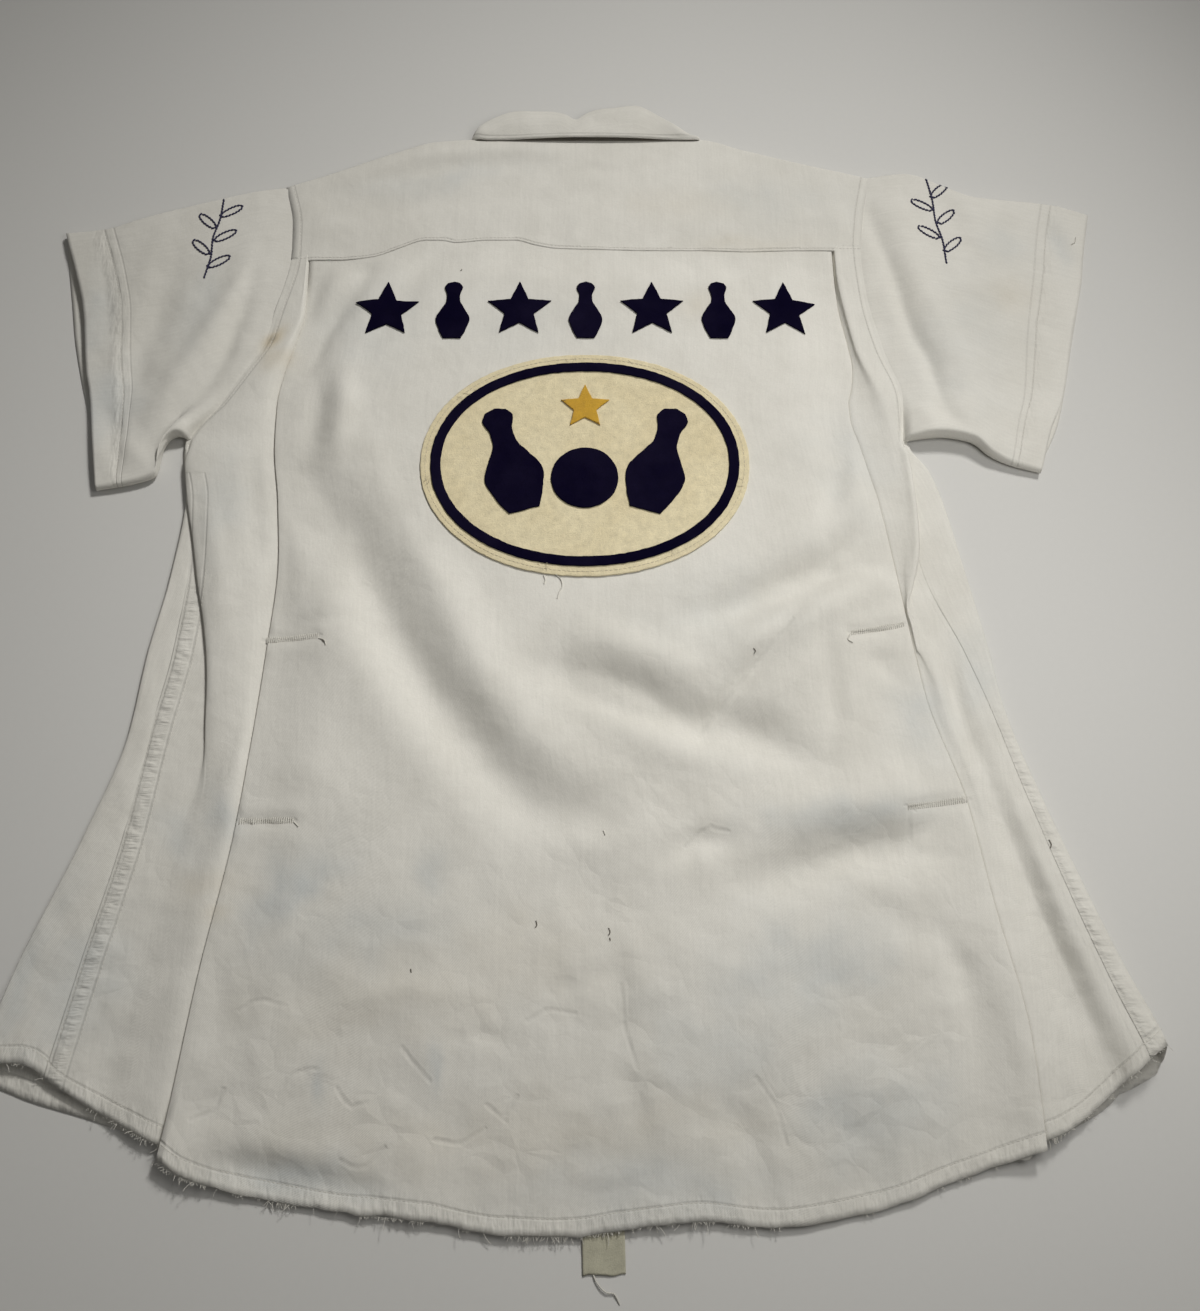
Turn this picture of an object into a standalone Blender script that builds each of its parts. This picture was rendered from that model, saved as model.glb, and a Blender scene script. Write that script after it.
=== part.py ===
"""A short-sleeved bowling shirt laid flat with its back up.

Metres, +Z up, +Y to the collar, +X to the wearer's right, origin under the middle of the shirt's box on
the surface that it lies on. The sizes and tables below are in millimetres, in the same axes, but measured
from the middle of the chest, and place() turns them into the part's own frame. Each cut piece is an open
sheet of points given a wall by Solidify. From the surface up, the layers are the fronts, the side of the
back, the hidden fold of each pleat and the back's centre.
"""

import math

import bmesh
import bpy
import numpy as np

MM = 0.001
BOX_MIDDLE = (-15.4, -8.0)  # of the whole shirt, in the tables' own axes

CLOTH = 1.2  # wall
FELT = 1.2
SEAM_GAP = 0.5
FELT_GAP = 0.3
FLOOR_LAYER = CLOTH / 2  # heights are of a wall's middle
SIDE_LAYER = 2.1
FOLD_LAYER = 4.1
CENTRE_LAYER = 6.1
YOKE_LAYER = 7.0
SEAM_LAYER = 4.0
CHEST_LAYER = 9.5  # the back's centre, between its pleats
HEM_LAYER = 6.8
PLEAT_RADIUS = 1.0
PLEAT_DEPTH = 32
SLEEVE_HEM = 27

# One side of the body, from the shoulder down: the armhole and then the side seam, the outline of the
# front below the armpit, the pleat's outer fold, and how far the cloth between seam and pleat stands up.
SIDE_COLUMNS = ("y", "edge", "outline", "pleat", "puff")
LEFT_SIDE = (
    (316, -228, -228, -206, 0),
    (278, -219, -219, -206, 0),
    (250, -218, -218, -206, 0),
    (205, -226, -226, -206, 1),
    (180, -231, -231, -213, 2),
    (157, -243, -243, -219, 3),
    (134, -256, -256, -222, 3),
    (102, -277, -278.4, -222, 4),
    (59, -268, -273, -212, 6),
    (5, -265, -277, -207, 6),
    (-46, -268, -285, -210, 5),
    (-98, -276, -290, -213, 4),
    (-163, -284, -309, -218, 2),
    (-243, -300, -338, -230, 1),
    (-303, -310, -352, -237, 1),
    (-345, -315, -358, -242, 1),
)
RIGHT_SIDE = (
    (320, 195, 195, 165, 0),
    (286, 188, 188, 165, 0),
    (256, 185, 185, 165, 0),
    (205, 189, 189, 167, 1),
    (176, 194, 194, 171, 1),
    (142, 205, 205, 171, 2),
    (102, 205, 207, 178, 2),
    (82, 205, 219, 183, 2),
    (59, 204, 226, 187, 2),
    (17, 207, 234, 189, 3),
    (-46, 230, 245, 197, 5),
    (-79, 241, 249, 202, 4),
    (-142, 258, 266, 220, 2),
    (-203, 276, 286, 229, 1),
    (-280, 302, 314, 241, 1),
    (-341, 318, 330, 243, 1),
)
ARMPIT = 102

# Heights along the length of the seams and hems that run across the shirt.
YOKE_SEAM = (
    (-218, 248),
    (-161, 249),
    (-123, 264),
    (-71, 265),
    (-36, 257),
    (36, 255),
    (103, 254),
    (185, 256),
)
SHOULDER_FOLD = (
    (-228, 313),
    (-205, 321),
    (-147, 345),
    (-121, 354),
    (-96, 356),
    (74, 356),
    (103, 347),
    (147, 334),
    (195, 321),
)
YOKE_LEVEL = 252  # the armhole's end of the yoke's seam
SHOULDER_LEVEL = 320
FRONT_YOKE = 42  # what the yoke shows on the front, below the shoulder's fold
YOKE_RADIUS = (YOKE_LAYER - FLOOR_LAYER) / 2
# The neck's corners, by their share of the way from the left pleat to the right one, and the columns
# beside them.
NECK = (0.302, 0.744)
SHOULDER_SPANS = 4
NECK_SPANS = 6
YOKE_SPANS = 5

# The back's hem, by its share of the way from the left pleat to the right one.
BACK_HEM = (
    (0, -341),
    (0.03, -350),
    (0.11, -360),
    (0.21, -368),
    (0.30, -372),
    (0.39, -379),
    (0.46, -380),
    (0.56, -374),
    (0.61, -372),
    (0.69, -375),
    (0.80, -368),
    (0.90, -352),
    (1, -336),
)
# Hems of the side of the back at its seam, below its pleat and at the hidden fold, and of the front's
# side fold.
SIDE_HEM_COLUMNS = ("seam", "pleat", "hidden_fold", "outline")
LEFT_SIDE_HEM = (-291, -332, -345, -296)
RIGHT_SIDE_HEM = (-284, -329, -340, -284)
# The front's neckline by distance from its middle, with the collar's reach and its heading away from the
# side.
NECK_COLUMNS = ("distance", "y", "reach", "heading")
NECKLINE = (
    (0, 272, 44, 88),
    (12, 273, 44, 82),
    (25, 276, 43, 74),
    (38, 281, 42, 65),
    (50, 287, 39, 56),
    (60, 293, 36, 48),
    (70, 300, 31, 38),
    (79, 308, 26, 26),
)
# The front's hem, by its share of the way from its free edge to its side.
FRONT_HEM = ((0, -352), (0.4, -346), (0.7, -334), (0.86, -318), (1, -300))

MIDDLE_TOP = -11  # the centre front line's X at its top and at the hem
MIDDLE_HEM = 1
OVERLAP = 15  # of each front past the centre front line
PLACKET = 18
PLACKET_SLOPE = 60
BUTTON_ROOM = 2.5  # what the outer front stands up by over its buttons

BUTTON_RADIUS = 5.7
BUTTON_HEIGHT = 2.1
BUTTON_SIDES = 14
BUTTON_PROFILE = ((0, 1), (0.86, 1), (1, 0.6), (1, 0.2), (0.85, 0), (0.6, 0.24), (0, 0.24))
BUTTON_TOP = 245
BUTTON_SPACING = 100
BUTTONS = 5

# Sleeves: the hem's edge of the upper and of the lower layer, the top fold and the fold under the arm,
# from the shoulder or the armhole outwards.
LEFT_SLEEVE = {
    "upper_hem": ((-383, 273), (-370, 237), (-361, 208), (-352, 159), (-340, 105), (-333, 68)),
    "lower_hem": ((-383, 273), (-379, 250), (-370, 212), (-357, 155), (-341, 105), (-333, 68)),
    "top": ((-228, 313), (-248, 309), (-304, 293), (-332, 284), (-355, 276), (-383, 273)),
    "under": ((-277, 104.5), (-283, 99), (-288, 89), (-295, 78), (-308, 72), (-333, 68)),
}
RIGHT_SLEEVE = {
    "upper_hem": ((352, 289), (343, 250), (340, 233), (326, 183), (314, 136), (303, 112), (293, 81)),
    "lower_hem": ((352, 289), (343, 250), (340, 233), (326, 183), (315, 137), (307, 112), (293, 81)),
    "top": ((195, 321), (224, 324), (252, 312), (273, 303), (328, 297), (352, 289)),
    "under": ((205, 104), (216, 104), (230, 102), (250, 97), (266, 87), (293, 81)),
}
ARMHOLE_LAYER = 6.5  # the upper layer along the armhole, down to where it meets the armpit
SLEEVE_LAYER = 6.4
SLEEVE_HEM_LAYER = 5.0
SLEEVE_FLOOR_LAYER = FLOOR_LAYER + 0.1
SLEEVE_SPANS = 7
UNDERARM_BEND = 4

# The collar's seam on the yoke, from the middle of the back round the neck's corner and down to the
# front: its place, the height of the cloth, how far it reaches, the heading of that reach in degrees from
# +X, and how far it lies spread out in one layer.
COLLAR_COLUMNS = ("x", "y", "z", "reach", "heading", "flat")
COLLAR_LEFT = (
    (-11, 353, 7, 24, 90, 0),
    (-20, 353, 7, 18, 90, 0),
    (-34, 353, 7, 21, 90, 0),
    (-54, 353, 7, 22, 90, 0),
    (-72, 353, 7, 20, 90, 0),
    (-84, 353, 7, 12, 92, 0),
    (-91, 353, 6.6, 5, 92, 0.2),
    (-94, 352, 3.8, 5, 60, 0.6),
    (-94, 347, 0.9, 6, 20, 1),
    (-94, 334, 0.6, 12, 8, 1),
    (-94, 320, 0.6, 19, 14, 1),
)
COLLAR_RIGHT = (
    (0, 353, 7, 25, 90, 0),
    (15, 353, 7, 26, 90, 0),
    (28, 353, 7, 26, 90, 0),
    (40, 353, 7, 21, 90, 0),
    (53, 353, 7, 12, 90, 0),
    (65, 353, 7, 6, 88, 0),
    (68, 353, 6.6, 5, 88, 0.2),
    (71, 352, 3.8, 5, 120, 0.6),
    (71, 347, 0.9, 6, 160, 1),
    (71, 334, 0.6, 12, 172, 1),
    (71, 320, 0.6, 19, 166, 1),
)
ROLL_RADIUS = 2.0

# The largest folds of the cloth, as soft ridges and troughs: a route, its half width, and its height.
BACK_CREASES = (
    (((-163, 75), (-143, 33), (-112, -22), (-84, -82), (-42, -128), (6, -140)), 17, -3.0),
    (((-120, -30), (-95, -68), (-58, -112)), 40, 3.0),
    (((190, 58), (151, 36), (115, 18), (80, -3)), 14, -2.8),
    (((170, 10), (120, -30), (60, -60)), 26, 2.5),
    (((-13, -51), (27, -68), (96, -101), (146, -117)), 15, -2.2),
    (((83, -173), (139, -158), (215, -143)), 14, -2.6),
    (((90, -140), (160, -128), (210, -118)), 18, 2.4),
    (((-165, 240), (-172, 205), (-198, 157)), 11, -2.0),
    (((-60, -300), (20, -280), (120, -300)), 45, 1.5),
    (((-190, -250), (-120, -310), (-40, -352)), 34, -1.2),
)
SLEEVE_CREASES = (
    (((-229, 268), (-248, 193), (-262, 150), (-286, 108)), 13, -2.4),
    (((-262, 250), (-283, 195), (-300, 130)), 22, 3.6),
    (((-300, 165), (-322, 110)), 20, -1.5),
    (((198, 290), (208, 246), (226, 172), (240, 122)), 12, -2.4),
    (((225, 270), (245, 200), (262, 130)), 24, 4.0),
    (((222, 133), (241, 109), (256, 95)), 10, -1.5),
)
YOKE_CREASES = (
    (((-200, 300), (-146, 322), (-88, 330)), 13, -1.6),
    (((-150, 290), (-60, 300), (60, 296), (140, 290)), 22, 1.8),
)

# Felt pieces on the back, which keeps the cloth under them flat.
PATCH_MIDDLE = (-10, 85)
PATCH_HALF = (110, 82)
PATCH_SQUARENESS = 2.2
PATCH_MARGIN = 9  # of the patch outside its ring
RING_WIDTH = 7
FELT_ROW = 204
ROW_SPACING = 46
STARS = 4  # of the row, with a pin between each pair
ROW_HALF = (STARS - 0.4) * ROW_SPACING
STAR_RADIUS = 23
STAR_WAIST = 0.46
PIN_HEIGHT = 46
PATCH_PIN = {"height": 78, "lean": 16, "x": 50, "y": 2}
PATCH_BALL = {"radius": 22, "y": -12}
PATCH_STAR = {"radius": 17, "y": 41}
# Creases fade out round the felt: over shares of the patch's own size, and over millimetres from the row.
PATCH_CLEAR = 1.2
PATCH_FADE = 0.3
ROW_CLEAR = 8
ROW_FADE = 22
# A bowling pin's half width, by its share of the height.
PIN_PROFILE = (
    (0, 0.13),
    (0.15, 0.2),
    (0.34, 0.25),
    (0.52, 0.17),
    (0.66, 0.1),
    (0.76, 0.095),
    (0.9, 0.135),
    (0.97, 0.09),
)

LABEL_X = (-10, 13)
LABEL_ROUTE = ((-362, 5.4), (-374, 5.3), (-384, 3), (-391, 1.2), (-398, 0.5))  # Y and height
LABEL_CLOTH = 1.0

# How far the cloth takes to rise from one layer to the next beside a hem, a seam and a fold.
HEM_SLOPE = 70
SEAM_SLOPE = 24
FOLD_SLOPE = 30
ARMHOLE_SLOPE = 45

ROWS_ABOVE = 7  # of points down to the armpit
ROWS_BELOW = 18
SIDE_SPANS = 4
TURN_SPANS = 3
WELD = 0.001  # points this close are one, as where a sleeve's sheet meets itself


def column(table, names, name):
    index = names.index(name)
    return [row[index] for row in table]


def track(at, values):
    """A smooth function through the given points, which never overshoots between them."""
    order = np.argsort(at)
    at, values = np.asarray(at, float)[order], np.asarray(values, float)[order]
    rise = np.diff(values) / np.diff(at)
    slope = np.zeros(len(at))
    slope[0], slope[-1] = rise[0], rise[-1]
    product = rise[:-1] * rise[1:]
    level = np.where(product > 0, rise[:-1] + rise[1:], 1)
    slope[1:-1] = np.where(product > 0, 2 * product / level, 0)

    def value(x):
        x = np.clip(x, at[0], at[-1])
        i = np.clip(np.searchsorted(at, x) - 1, 0, len(rise) - 1)
        width = at[i + 1] - at[i]
        t = (x - at[i]) / width
        start = values[i] * (1 + 2 * t) * (1 - t) ** 2 + slope[i] * width * t * (1 - t) ** 2
        end = values[i + 1] * t * t * (3 - 2 * t) + slope[i + 1] * width * t * t * (t - 1)
        return start + end

    return value


def pairs(table):
    return track([row[0] for row in table], [row[1] for row in table])


def route(points):
    """The X and Y along a line through the points, by the share of its length."""
    points = np.asarray(points, float)
    steps = np.hypot(*np.diff(points, axis=0).T)
    along = np.concatenate([[0], np.cumsum(steps)]) / steps.sum()
    across, up = track(along, points[:, 0]), track(along, points[:, 1])
    return lambda share: np.stack([across(share), up(share)], -1)


def mix(a, b, share):
    return a + (b - a) * share


def ease(value, end=1.0):
    """0 up to 0, 1 from end on, and a smooth step between them."""
    t = np.clip(value / end, 0, 1)
    return t * t * (3 - 2 * t)


def creases(x, y, table):
    """How far the soft folds of a table lift the cloth at each place."""
    total = np.zeros(np.broadcast(x, y).shape)
    for points, half_width, height in table:
        lengths = [math.dist(a, b) for a, b in zip(points, points[1:])]
        nearest = np.full(total.shape, np.inf)
        share = np.zeros(total.shape)
        before = 0.0
        for (x0, y0), (x1, y1), length in zip(points, points[1:], lengths):
            t = np.clip(((x - x0) * (x1 - x0) + (y - y0) * (y1 - y0)) / length**2, 0, 1)
            away = np.hypot(x - mix(x0, x1, t), y - mix(y0, y1, t))
            share = np.where(away < nearest, (before + t * length) / sum(lengths), share)
            nearest = np.minimum(away, nearest)
            before += length
        fade = np.sqrt(np.clip(np.sin(np.pi * mix(0.06, 0.94, share)), 0, 1))
        total = total + height * fade * np.exp(-((nearest / half_width) ** 2))
    return total


class Side:
    """One side of the body: its lines as functions of Y. inward is the sign of X towards the middle."""

    def __init__(self, table, hems, inward, place_name):
        y = column(table, SIDE_COLUMNS, "y")
        self.edge = track(y, column(table, SIDE_COLUMNS, "edge"))
        self.outline = track(y, column(table, SIDE_COLUMNS, "outline"))
        self.pleat = track(y, column(table, SIDE_COLUMNS, "pleat"))
        self.puff = track(y, column(table, SIDE_COLUMNS, "puff"))
        self.hems = dict(zip(SIDE_HEM_COLUMNS, hems))
        self.inward = inward
        self.name = place_name

    def edge_layer(self, y):
        """The height of the side seam and the armhole."""
        return mix(SEAM_LAYER, ARMHOLE_LAYER, ease(y - ARMPIT, ARMHOLE_SLOPE))


LEFT = Side(LEFT_SIDE, LEFT_SIDE_HEM, 1, "left")
RIGHT = Side(RIGHT_SIDE, RIGHT_SIDE_HEM, -1, "right")
yoke_seam = pairs(YOKE_SEAM)
shoulder_fold = pairs(SHOULDER_FOLD)
centre_shares = np.concatenate(
    [
        np.linspace(0, NECK[0], SHOULDER_SPANS + 1),
        np.linspace(*NECK, NECK_SPANS + 1)[1:],
        np.linspace(NECK[1], 1, SHOULDER_SPANS + 1)[1:],
    ]
)
# The yoke's columns at the neck's two corners.
neck_columns = (SHOULDER_SPANS + 1, SHOULDER_SPANS + 1 + NECK_SPANS)


def flat_zone(x, y):
    """1 where felt lies on the back, 0 well clear of it."""
    reach = np.hypot((x - PATCH_MIDDLE[0]) / PATCH_HALF[0], (y - PATCH_MIDDLE[1]) / PATCH_HALF[1])
    row_end = np.maximum(np.abs(x - PATCH_MIDDLE[0]) - ROW_HALF, 0)
    row_side = np.maximum(np.abs(y - FELT_ROW) - STAR_RADIUS, 0)
    on_patch = 1 - ease(reach - PATCH_CLEAR, PATCH_FADE)
    return np.maximum(on_patch, 1 - ease(np.hypot(row_end, row_side) - ROW_CLEAR, ROW_FADE))


def centre_height(x, y):
    """The middle of the back's wall between its pleats."""
    left, right = LEFT.pleat(y), RIGHT.pleat(y)
    from_pleat = np.minimum(x - left, right - x)
    across = np.clip((x - left) / (right - left), 0, 1)
    level = mix(HEM_LAYER, CHEST_LAYER, ease(y - pairs(BACK_HEM)(across), HEM_SLOPE))
    level = mix(YOKE_LAYER, level, ease(yoke_seam(x) - y, SEAM_SLOPE))
    level = mix(CENTRE_LAYER, level, ease(from_pleat, FOLD_SLOPE))
    lift = creases(x, y, BACK_CREASES) * (1 - flat_zone(x, y)) * ease(from_pleat, SEAM_SLOPE)
    return np.maximum(level + lift, CENTRE_LAYER)


def rows_between(top, hem):
    """Y from a piece's top to its hem, with a row at the armpit."""
    return np.concatenate([np.linspace(top, ARMPIT, ROWS_ABOVE), np.linspace(ARMPIT, hem, ROWS_BELOW)[1:]])


def below_seam(seam, x):
    """Y just below a seam, which is a line of points from -X to +X."""
    return np.interp(x, seam[:, 0], seam[:, 1]) - SEAM_GAP


def turn(start, end, side, x):
    """A fold through half a circle between two heights. It bulges to side of x."""
    radius = (end - start) / 2
    for angle in np.linspace(0, np.pi, TURN_SPANS + 2)[1:-1]:
        yield x + side * abs(radius) * (np.sin(angle) - 1), start + radius * (1 - np.cos(angle))


def pleated_side(side, seam):
    """Columns of the back from its side seam to the outer fold of its pleat."""
    columns = []
    armhole, pleat = side.edge(YOKE_LEVEL), side.pleat(YOKE_LEVEL)
    for share in np.linspace(0, 1, SIDE_SPANS + 1):
        hem = mix(side.hems["seam"], side.hems["pleat"], share)
        y = rows_between(below_seam(seam, mix(armhole, pleat, share)), hem)
        edge = side.edge(y) + side.inward * SEAM_GAP / 2
        x = mix(edge, side.pleat(y), share)
        z = mix(side.edge_layer(y), SIDE_LAYER, ease(share)) + side.puff(y) * math.sin(math.pi * share)
        columns.append((x, y, z))
    y = rows_between(below_seam(seam, pleat + side.inward * PLEAT_DEPTH), side.hems["hidden_fold"])
    level = np.ones_like(y)
    hidden = side.pleat(y) + side.inward * PLEAT_DEPTH
    columns.append((hidden - side.inward * PLEAT_RADIUS, y, SIDE_LAYER * level))
    for x, z in turn(SIDE_LAYER, FOLD_LAYER, side.inward, hidden):
        columns.append((x, y, z * level))
    columns.append((hidden - side.inward * PLEAT_RADIUS, y, FOLD_LAYER * level))
    y = rows_between(below_seam(seam, pleat), pairs(BACK_HEM)(0 if side is LEFT else 1))
    outer = side.pleat(y)
    columns.append((outer + side.inward * PLEAT_RADIUS, y, FOLD_LAYER * level))
    for x, z in turn(FOLD_LAYER, CENTRE_LAYER, -side.inward, outer):
        columns.append((x, y, z * level))
    return columns


def back_sheet(seam):
    """Columns of the back from one side seam to the other, under the yoke's seam."""
    columns = pleated_side(LEFT, seam)
    for share in centre_shares:
        x = mix(LEFT.pleat(YOKE_LEVEL), RIGHT.pleat(YOKE_LEVEL), share)
        y = rows_between(below_seam(seam, x), pairs(BACK_HEM)(share))
        x = mix(LEFT.pleat(y) + PLEAT_RADIUS, RIGHT.pleat(y) - PLEAT_RADIUS, share)
        columns.append((x, y, centre_height(x, y)))
    columns += reversed(pleated_side(RIGHT, seam))
    return np.array(columns).transpose(2, 0, 1)


def yoke_height(x, y):
    to_edge = np.minimum(x - LEFT.edge(y), RIGHT.edge(y) - x)
    level = mix(ARMHOLE_LAYER, YOKE_LAYER, ease(to_edge, FOLD_SLOPE))
    from_seam = ease(y - yoke_seam(x), SEAM_SLOPE)
    from_fold = ease(shoulder_fold(x) - y, FOLD_SLOPE)
    return level + creases(x, y, YOKE_CREASES) * from_seam * from_fold * ease(to_edge, FOLD_SLOPE)


def yoke_sheet():
    """Rows of the yoke from its seam over the shoulders' fold to its seam on the fronts."""
    left, right = LEFT.edge(YOKE_LEVEL), RIGHT.edge(YOKE_LEVEL)
    pleats = LEFT.pleat(YOKE_LEVEL), RIGHT.pleat(YOKE_LEVEL)
    shares = np.concatenate([[0], (mix(*pleats, centre_shares) - left) / (right - left), [1]])
    seam = yoke_seam(mix(left, right, shares)) + SEAM_GAP / 2
    fold = shoulder_fold(mix(LEFT.edge(SHOULDER_LEVEL), RIGHT.edge(SHOULDER_LEVEL), shares))

    def row(y, z=None):
        x = mix(LEFT.edge(y), RIGHT.edge(y), shares)
        return x, y, yoke_height(x, y) if z is None else z

    rows = [row(mix(seam, fold - YOKE_RADIUS, share)) for share in np.linspace(0, 1, YOKE_SPANS + 1)]
    top = rows[-1][2]
    for angle in np.linspace(0, np.pi, TURN_SPANS + 2)[1:]:
        z = mix(FLOOR_LAYER, top, (1 + np.cos(angle)) / 2)
        rows.append(row(fold + YOKE_RADIUS * (np.sin(angle) - 1), z))
    for share in (0.5, 1):
        rows.append(row(fold - mix(YOKE_RADIUS, FRONT_YOKE, share), FLOOR_LAYER + 0 * fold))
    return np.array(rows).transpose(0, 2, 1)


def middle(y):
    return mix(MIDDLE_HEM, MIDDLE_TOP, (y + 350) / 700)


def placket_lift(x, y, outer):
    """The outer front clears its buttons, and the inner one lies on it."""
    height = BUTTON_ROOM + (0 if outer else CLOTH + SEAM_GAP)
    return height * (1 - ease(np.abs(x - middle(y)) - PLACKET, PLACKET_SLOPE - PLACKET))


def front_tops(side, yoke):
    """The top of each column of a front: its neckline from the free edge, then its seam on the yoke."""
    tops = [(-OVERLAP, NECKLINE[0][1])]
    tops += [(row[0], row[1]) for row in NECKLINE]
    points = [(middle(y) - side.inward * distance, y) for distance, y in tops]
    left, right = neck_columns
    seam = yoke[-1, left::-1] if side is LEFT else yoke[-1, right:]
    return points + [(x, y - SEAM_GAP) for x, y, _ in seam]


def front_sheet(side, yoke):
    """Columns of a front from its free edge round to the side seam, and how many of them lie flat."""
    outer = side is RIGHT
    turn_radius = (SEAM_LAYER - FLOOR_LAYER) / 2
    columns = []
    tops = front_tops(side, yoke)

    def free_edge(y):
        return middle(y) + side.inward * OVERLAP

    for top_x, top_y in tops:
        share = (top_x - free_edge(top_y)) / (side.edge(top_y) - free_edge(top_y))
        y = rows_between(top_y, pairs(FRONT_HEM)(share))
        stop = np.where(y < ARMPIT, side.outline(y) + side.inward * turn_radius, side.edge(y))
        x = mix(free_edge(y), stop, share)
        columns.append((x, y, FLOOR_LAYER + placket_lift(x, y, outer)))
    y = rows_between(tops[-1][1], side.hems["outline"])
    for x, z in turn(FLOOR_LAYER, SEAM_LAYER, -side.inward, side.outline(y)):
        columns.append((x, y, z + 0 * y))
    for share in (0, 0.5, 1):
        y = rows_between(tops[-1][1], mix(side.hems["outline"], side.hems["seam"], share))
        start = side.outline(y) + side.inward * turn_radius
        x = mix(start, side.edge(y) - side.inward * SEAM_GAP / 2, share)
        columns.append((x, y, SEAM_LAYER + 0 * y))
    return np.array(columns).transpose(2, 0, 1), len(tops)


def sleeve_outline(side, edges):
    """The sleeve's plan, by the share out from the armhole and the share down from its top fold."""
    top, under = route(edges["top"]), route(edges["under"])
    upper_hem, lower_hem = route(edges["upper_hem"]), route(edges["lower_hem"])
    highest, lowest = edges["top"][0][1], edges["under"][0][1]

    def plan(out, down, is_upper):
        y = mix(highest, lowest, down)
        armhole = np.stack([side.edge(y) - side.inward * SEAM_GAP, y], -1)
        hem = (upper_hem if is_upper else lower_hem)(down)
        out, down = np.asarray(out)[..., None], np.asarray(down)[..., None]
        across = mix(armhole, hem, out)
        along = mix(top(out[..., 0]), under(out[..., 0]), down)
        corners = mix(
            mix(np.array(edges["top"][0]), np.array(edges["top"][-1]), out),
            mix(np.array(edges["under"][0]), np.array(edges["under"][-1]), out),
            down,
        )
        return across + along - corners

    return plan


def sleeve_height(side, x, y, out, down):
    level = mix(side.edge_layer(y), SLEEVE_LAYER, ease(out, 0.2))
    level = mix(level, SLEEVE_HEM_LAYER, ease(out - 0.6, 0.4))
    clear = ease(out, 0.12) * ease(down, 0.1) * ease(1 - down, 0.12) * mix(1, 0.3, ease(out - 0.7, 0.3))
    return level + creases(x, y, SLEEVE_CREASES) * clear


def sleeve_sheet(side, edges, upper_levels, lower_levels):
    """Rings of the flattened sleeve from the armhole to the hem, the last one closing on the first.

    The levels are the heights along the armhole at which the body's own edge has its points.
    """
    plan = sleeve_outline(side, edges)
    highest, lowest = edges["top"][0][1], edges["under"][0][1]
    upper_downs, lower_downs = [
        [(highest - level) / (highest - lowest) for level in levels if level > lowest + UNDERARM_BEND]
        for levels in (upper_levels, lower_levels)
    ]
    last = 1 - UNDERARM_BEND / (highest - lowest)
    length = math.dist(edges["top"][0], edges["top"][-1])
    outs = np.append(np.linspace(0, 1 - SLEEVE_HEM / length, SLEEVE_SPANS), 1)
    rings = []
    for out in outs:
        upper = []
        for down in [*sorted(upper_downs), last]:
            x, y = plan(out, down, True)
            upper.append((x, y, sleeve_height(side, x, y, out, down)))
        lower = [
            (*plan(out, down, False), SLEEVE_FLOOR_LAYER)
            for down in [last, *sorted(lower_downs, reverse=True)]
        ]
        under = bend(upper[-1], lower[0], plan, out, 1)
        rings.append(upper + under + lower + bend(lower[-1], upper[0], plan, out, 0))
    rings = np.array(rings)
    return np.concatenate([rings, rings[:, :1]], axis=1)


def bend(start, end, plan, out, down):
    """The sleeve's fold between two layers."""
    apex = plan(out, down, True)
    points = []
    for angle in np.linspace(0, np.pi, TURN_SPANS + 2)[1:-1]:
        base = mix(np.array(start[:2]), np.array(end[:2]), (1 - math.cos(angle)) / 2)
        x, y = mix(base, apex, math.sin(angle))
        points.append((x, y, mix(end[2], start[2], (1 + math.cos(angle)) / 2)))
    return points


def collar_stations(side, front, stations):
    """Half of the collar's seam, from the middle of the back to the centre front."""
    rows = [list(row) for row in stations]
    corner = len(NECKLINE)
    for i in range(corner, 0, -1):
        x, y, z = front[0, i]
        _, _, reach, heading = NECKLINE[i - 1]
        rows.append([x, y, z, reach, heading if side is LEFT else 180 - heading, 1])
    return rows


def collar_sheet(fronts):
    """Sections of the collar along the neck, from the left front round the back to the right one."""
    left = collar_stations(LEFT, fronts[LEFT.name], COLLAR_LEFT)
    right = collar_stations(RIGHT, fronts[RIGHT.name], COLLAR_RIGHT)
    rows = []
    for x, y, z, reach, heading, flat in left[::-1] + right:
        radius = ROLL_RADIUS * min(1, reach / 10)
        folded = [(reach * share, 0) for share in (0, 0.5, 1)]
        folded += [
            (reach + radius * math.sin(angle), radius * (1 - math.cos(angle)))
            for angle in np.linspace(0, np.pi, TURN_SPANS + 2)[1:-1]
        ]
        folded += [(reach * (1 - share), 2 * radius) for share in (0, 0.5, 1)]
        spread = [(reach * share, 0) for share in np.linspace(0, 1, len(folded))]
        ahead = math.radians(heading)
        row = []
        for (out_a, up_a), (out_b, up_b) in zip(folded, spread):
            out, up = mix(out_a, out_b, flat) + SEAM_GAP, mix(up_a, up_b, flat)
            row.append((x + out * math.cos(ahead), y + out * math.sin(ahead), z + up))
        rows.append(row)
    return np.array(rows)


def place(points):
    """Millimetres in the tables' axes, as metres in the part's frame."""
    points = np.asarray(points, float)
    return (points - np.array([*BOX_MIDDLE, 0])) * MM


def material(name, colour, roughness):
    made = bpy.data.materials.new(name)
    made.use_nodes = True
    shader = made.node_tree.nodes["Principled BSDF"]
    shader.inputs["Base Color"].default_value = (*colour, 1)
    shader.inputs["Roughness"].default_value = roughness
    shader.inputs["Metallic"].default_value = 0
    return made


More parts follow.
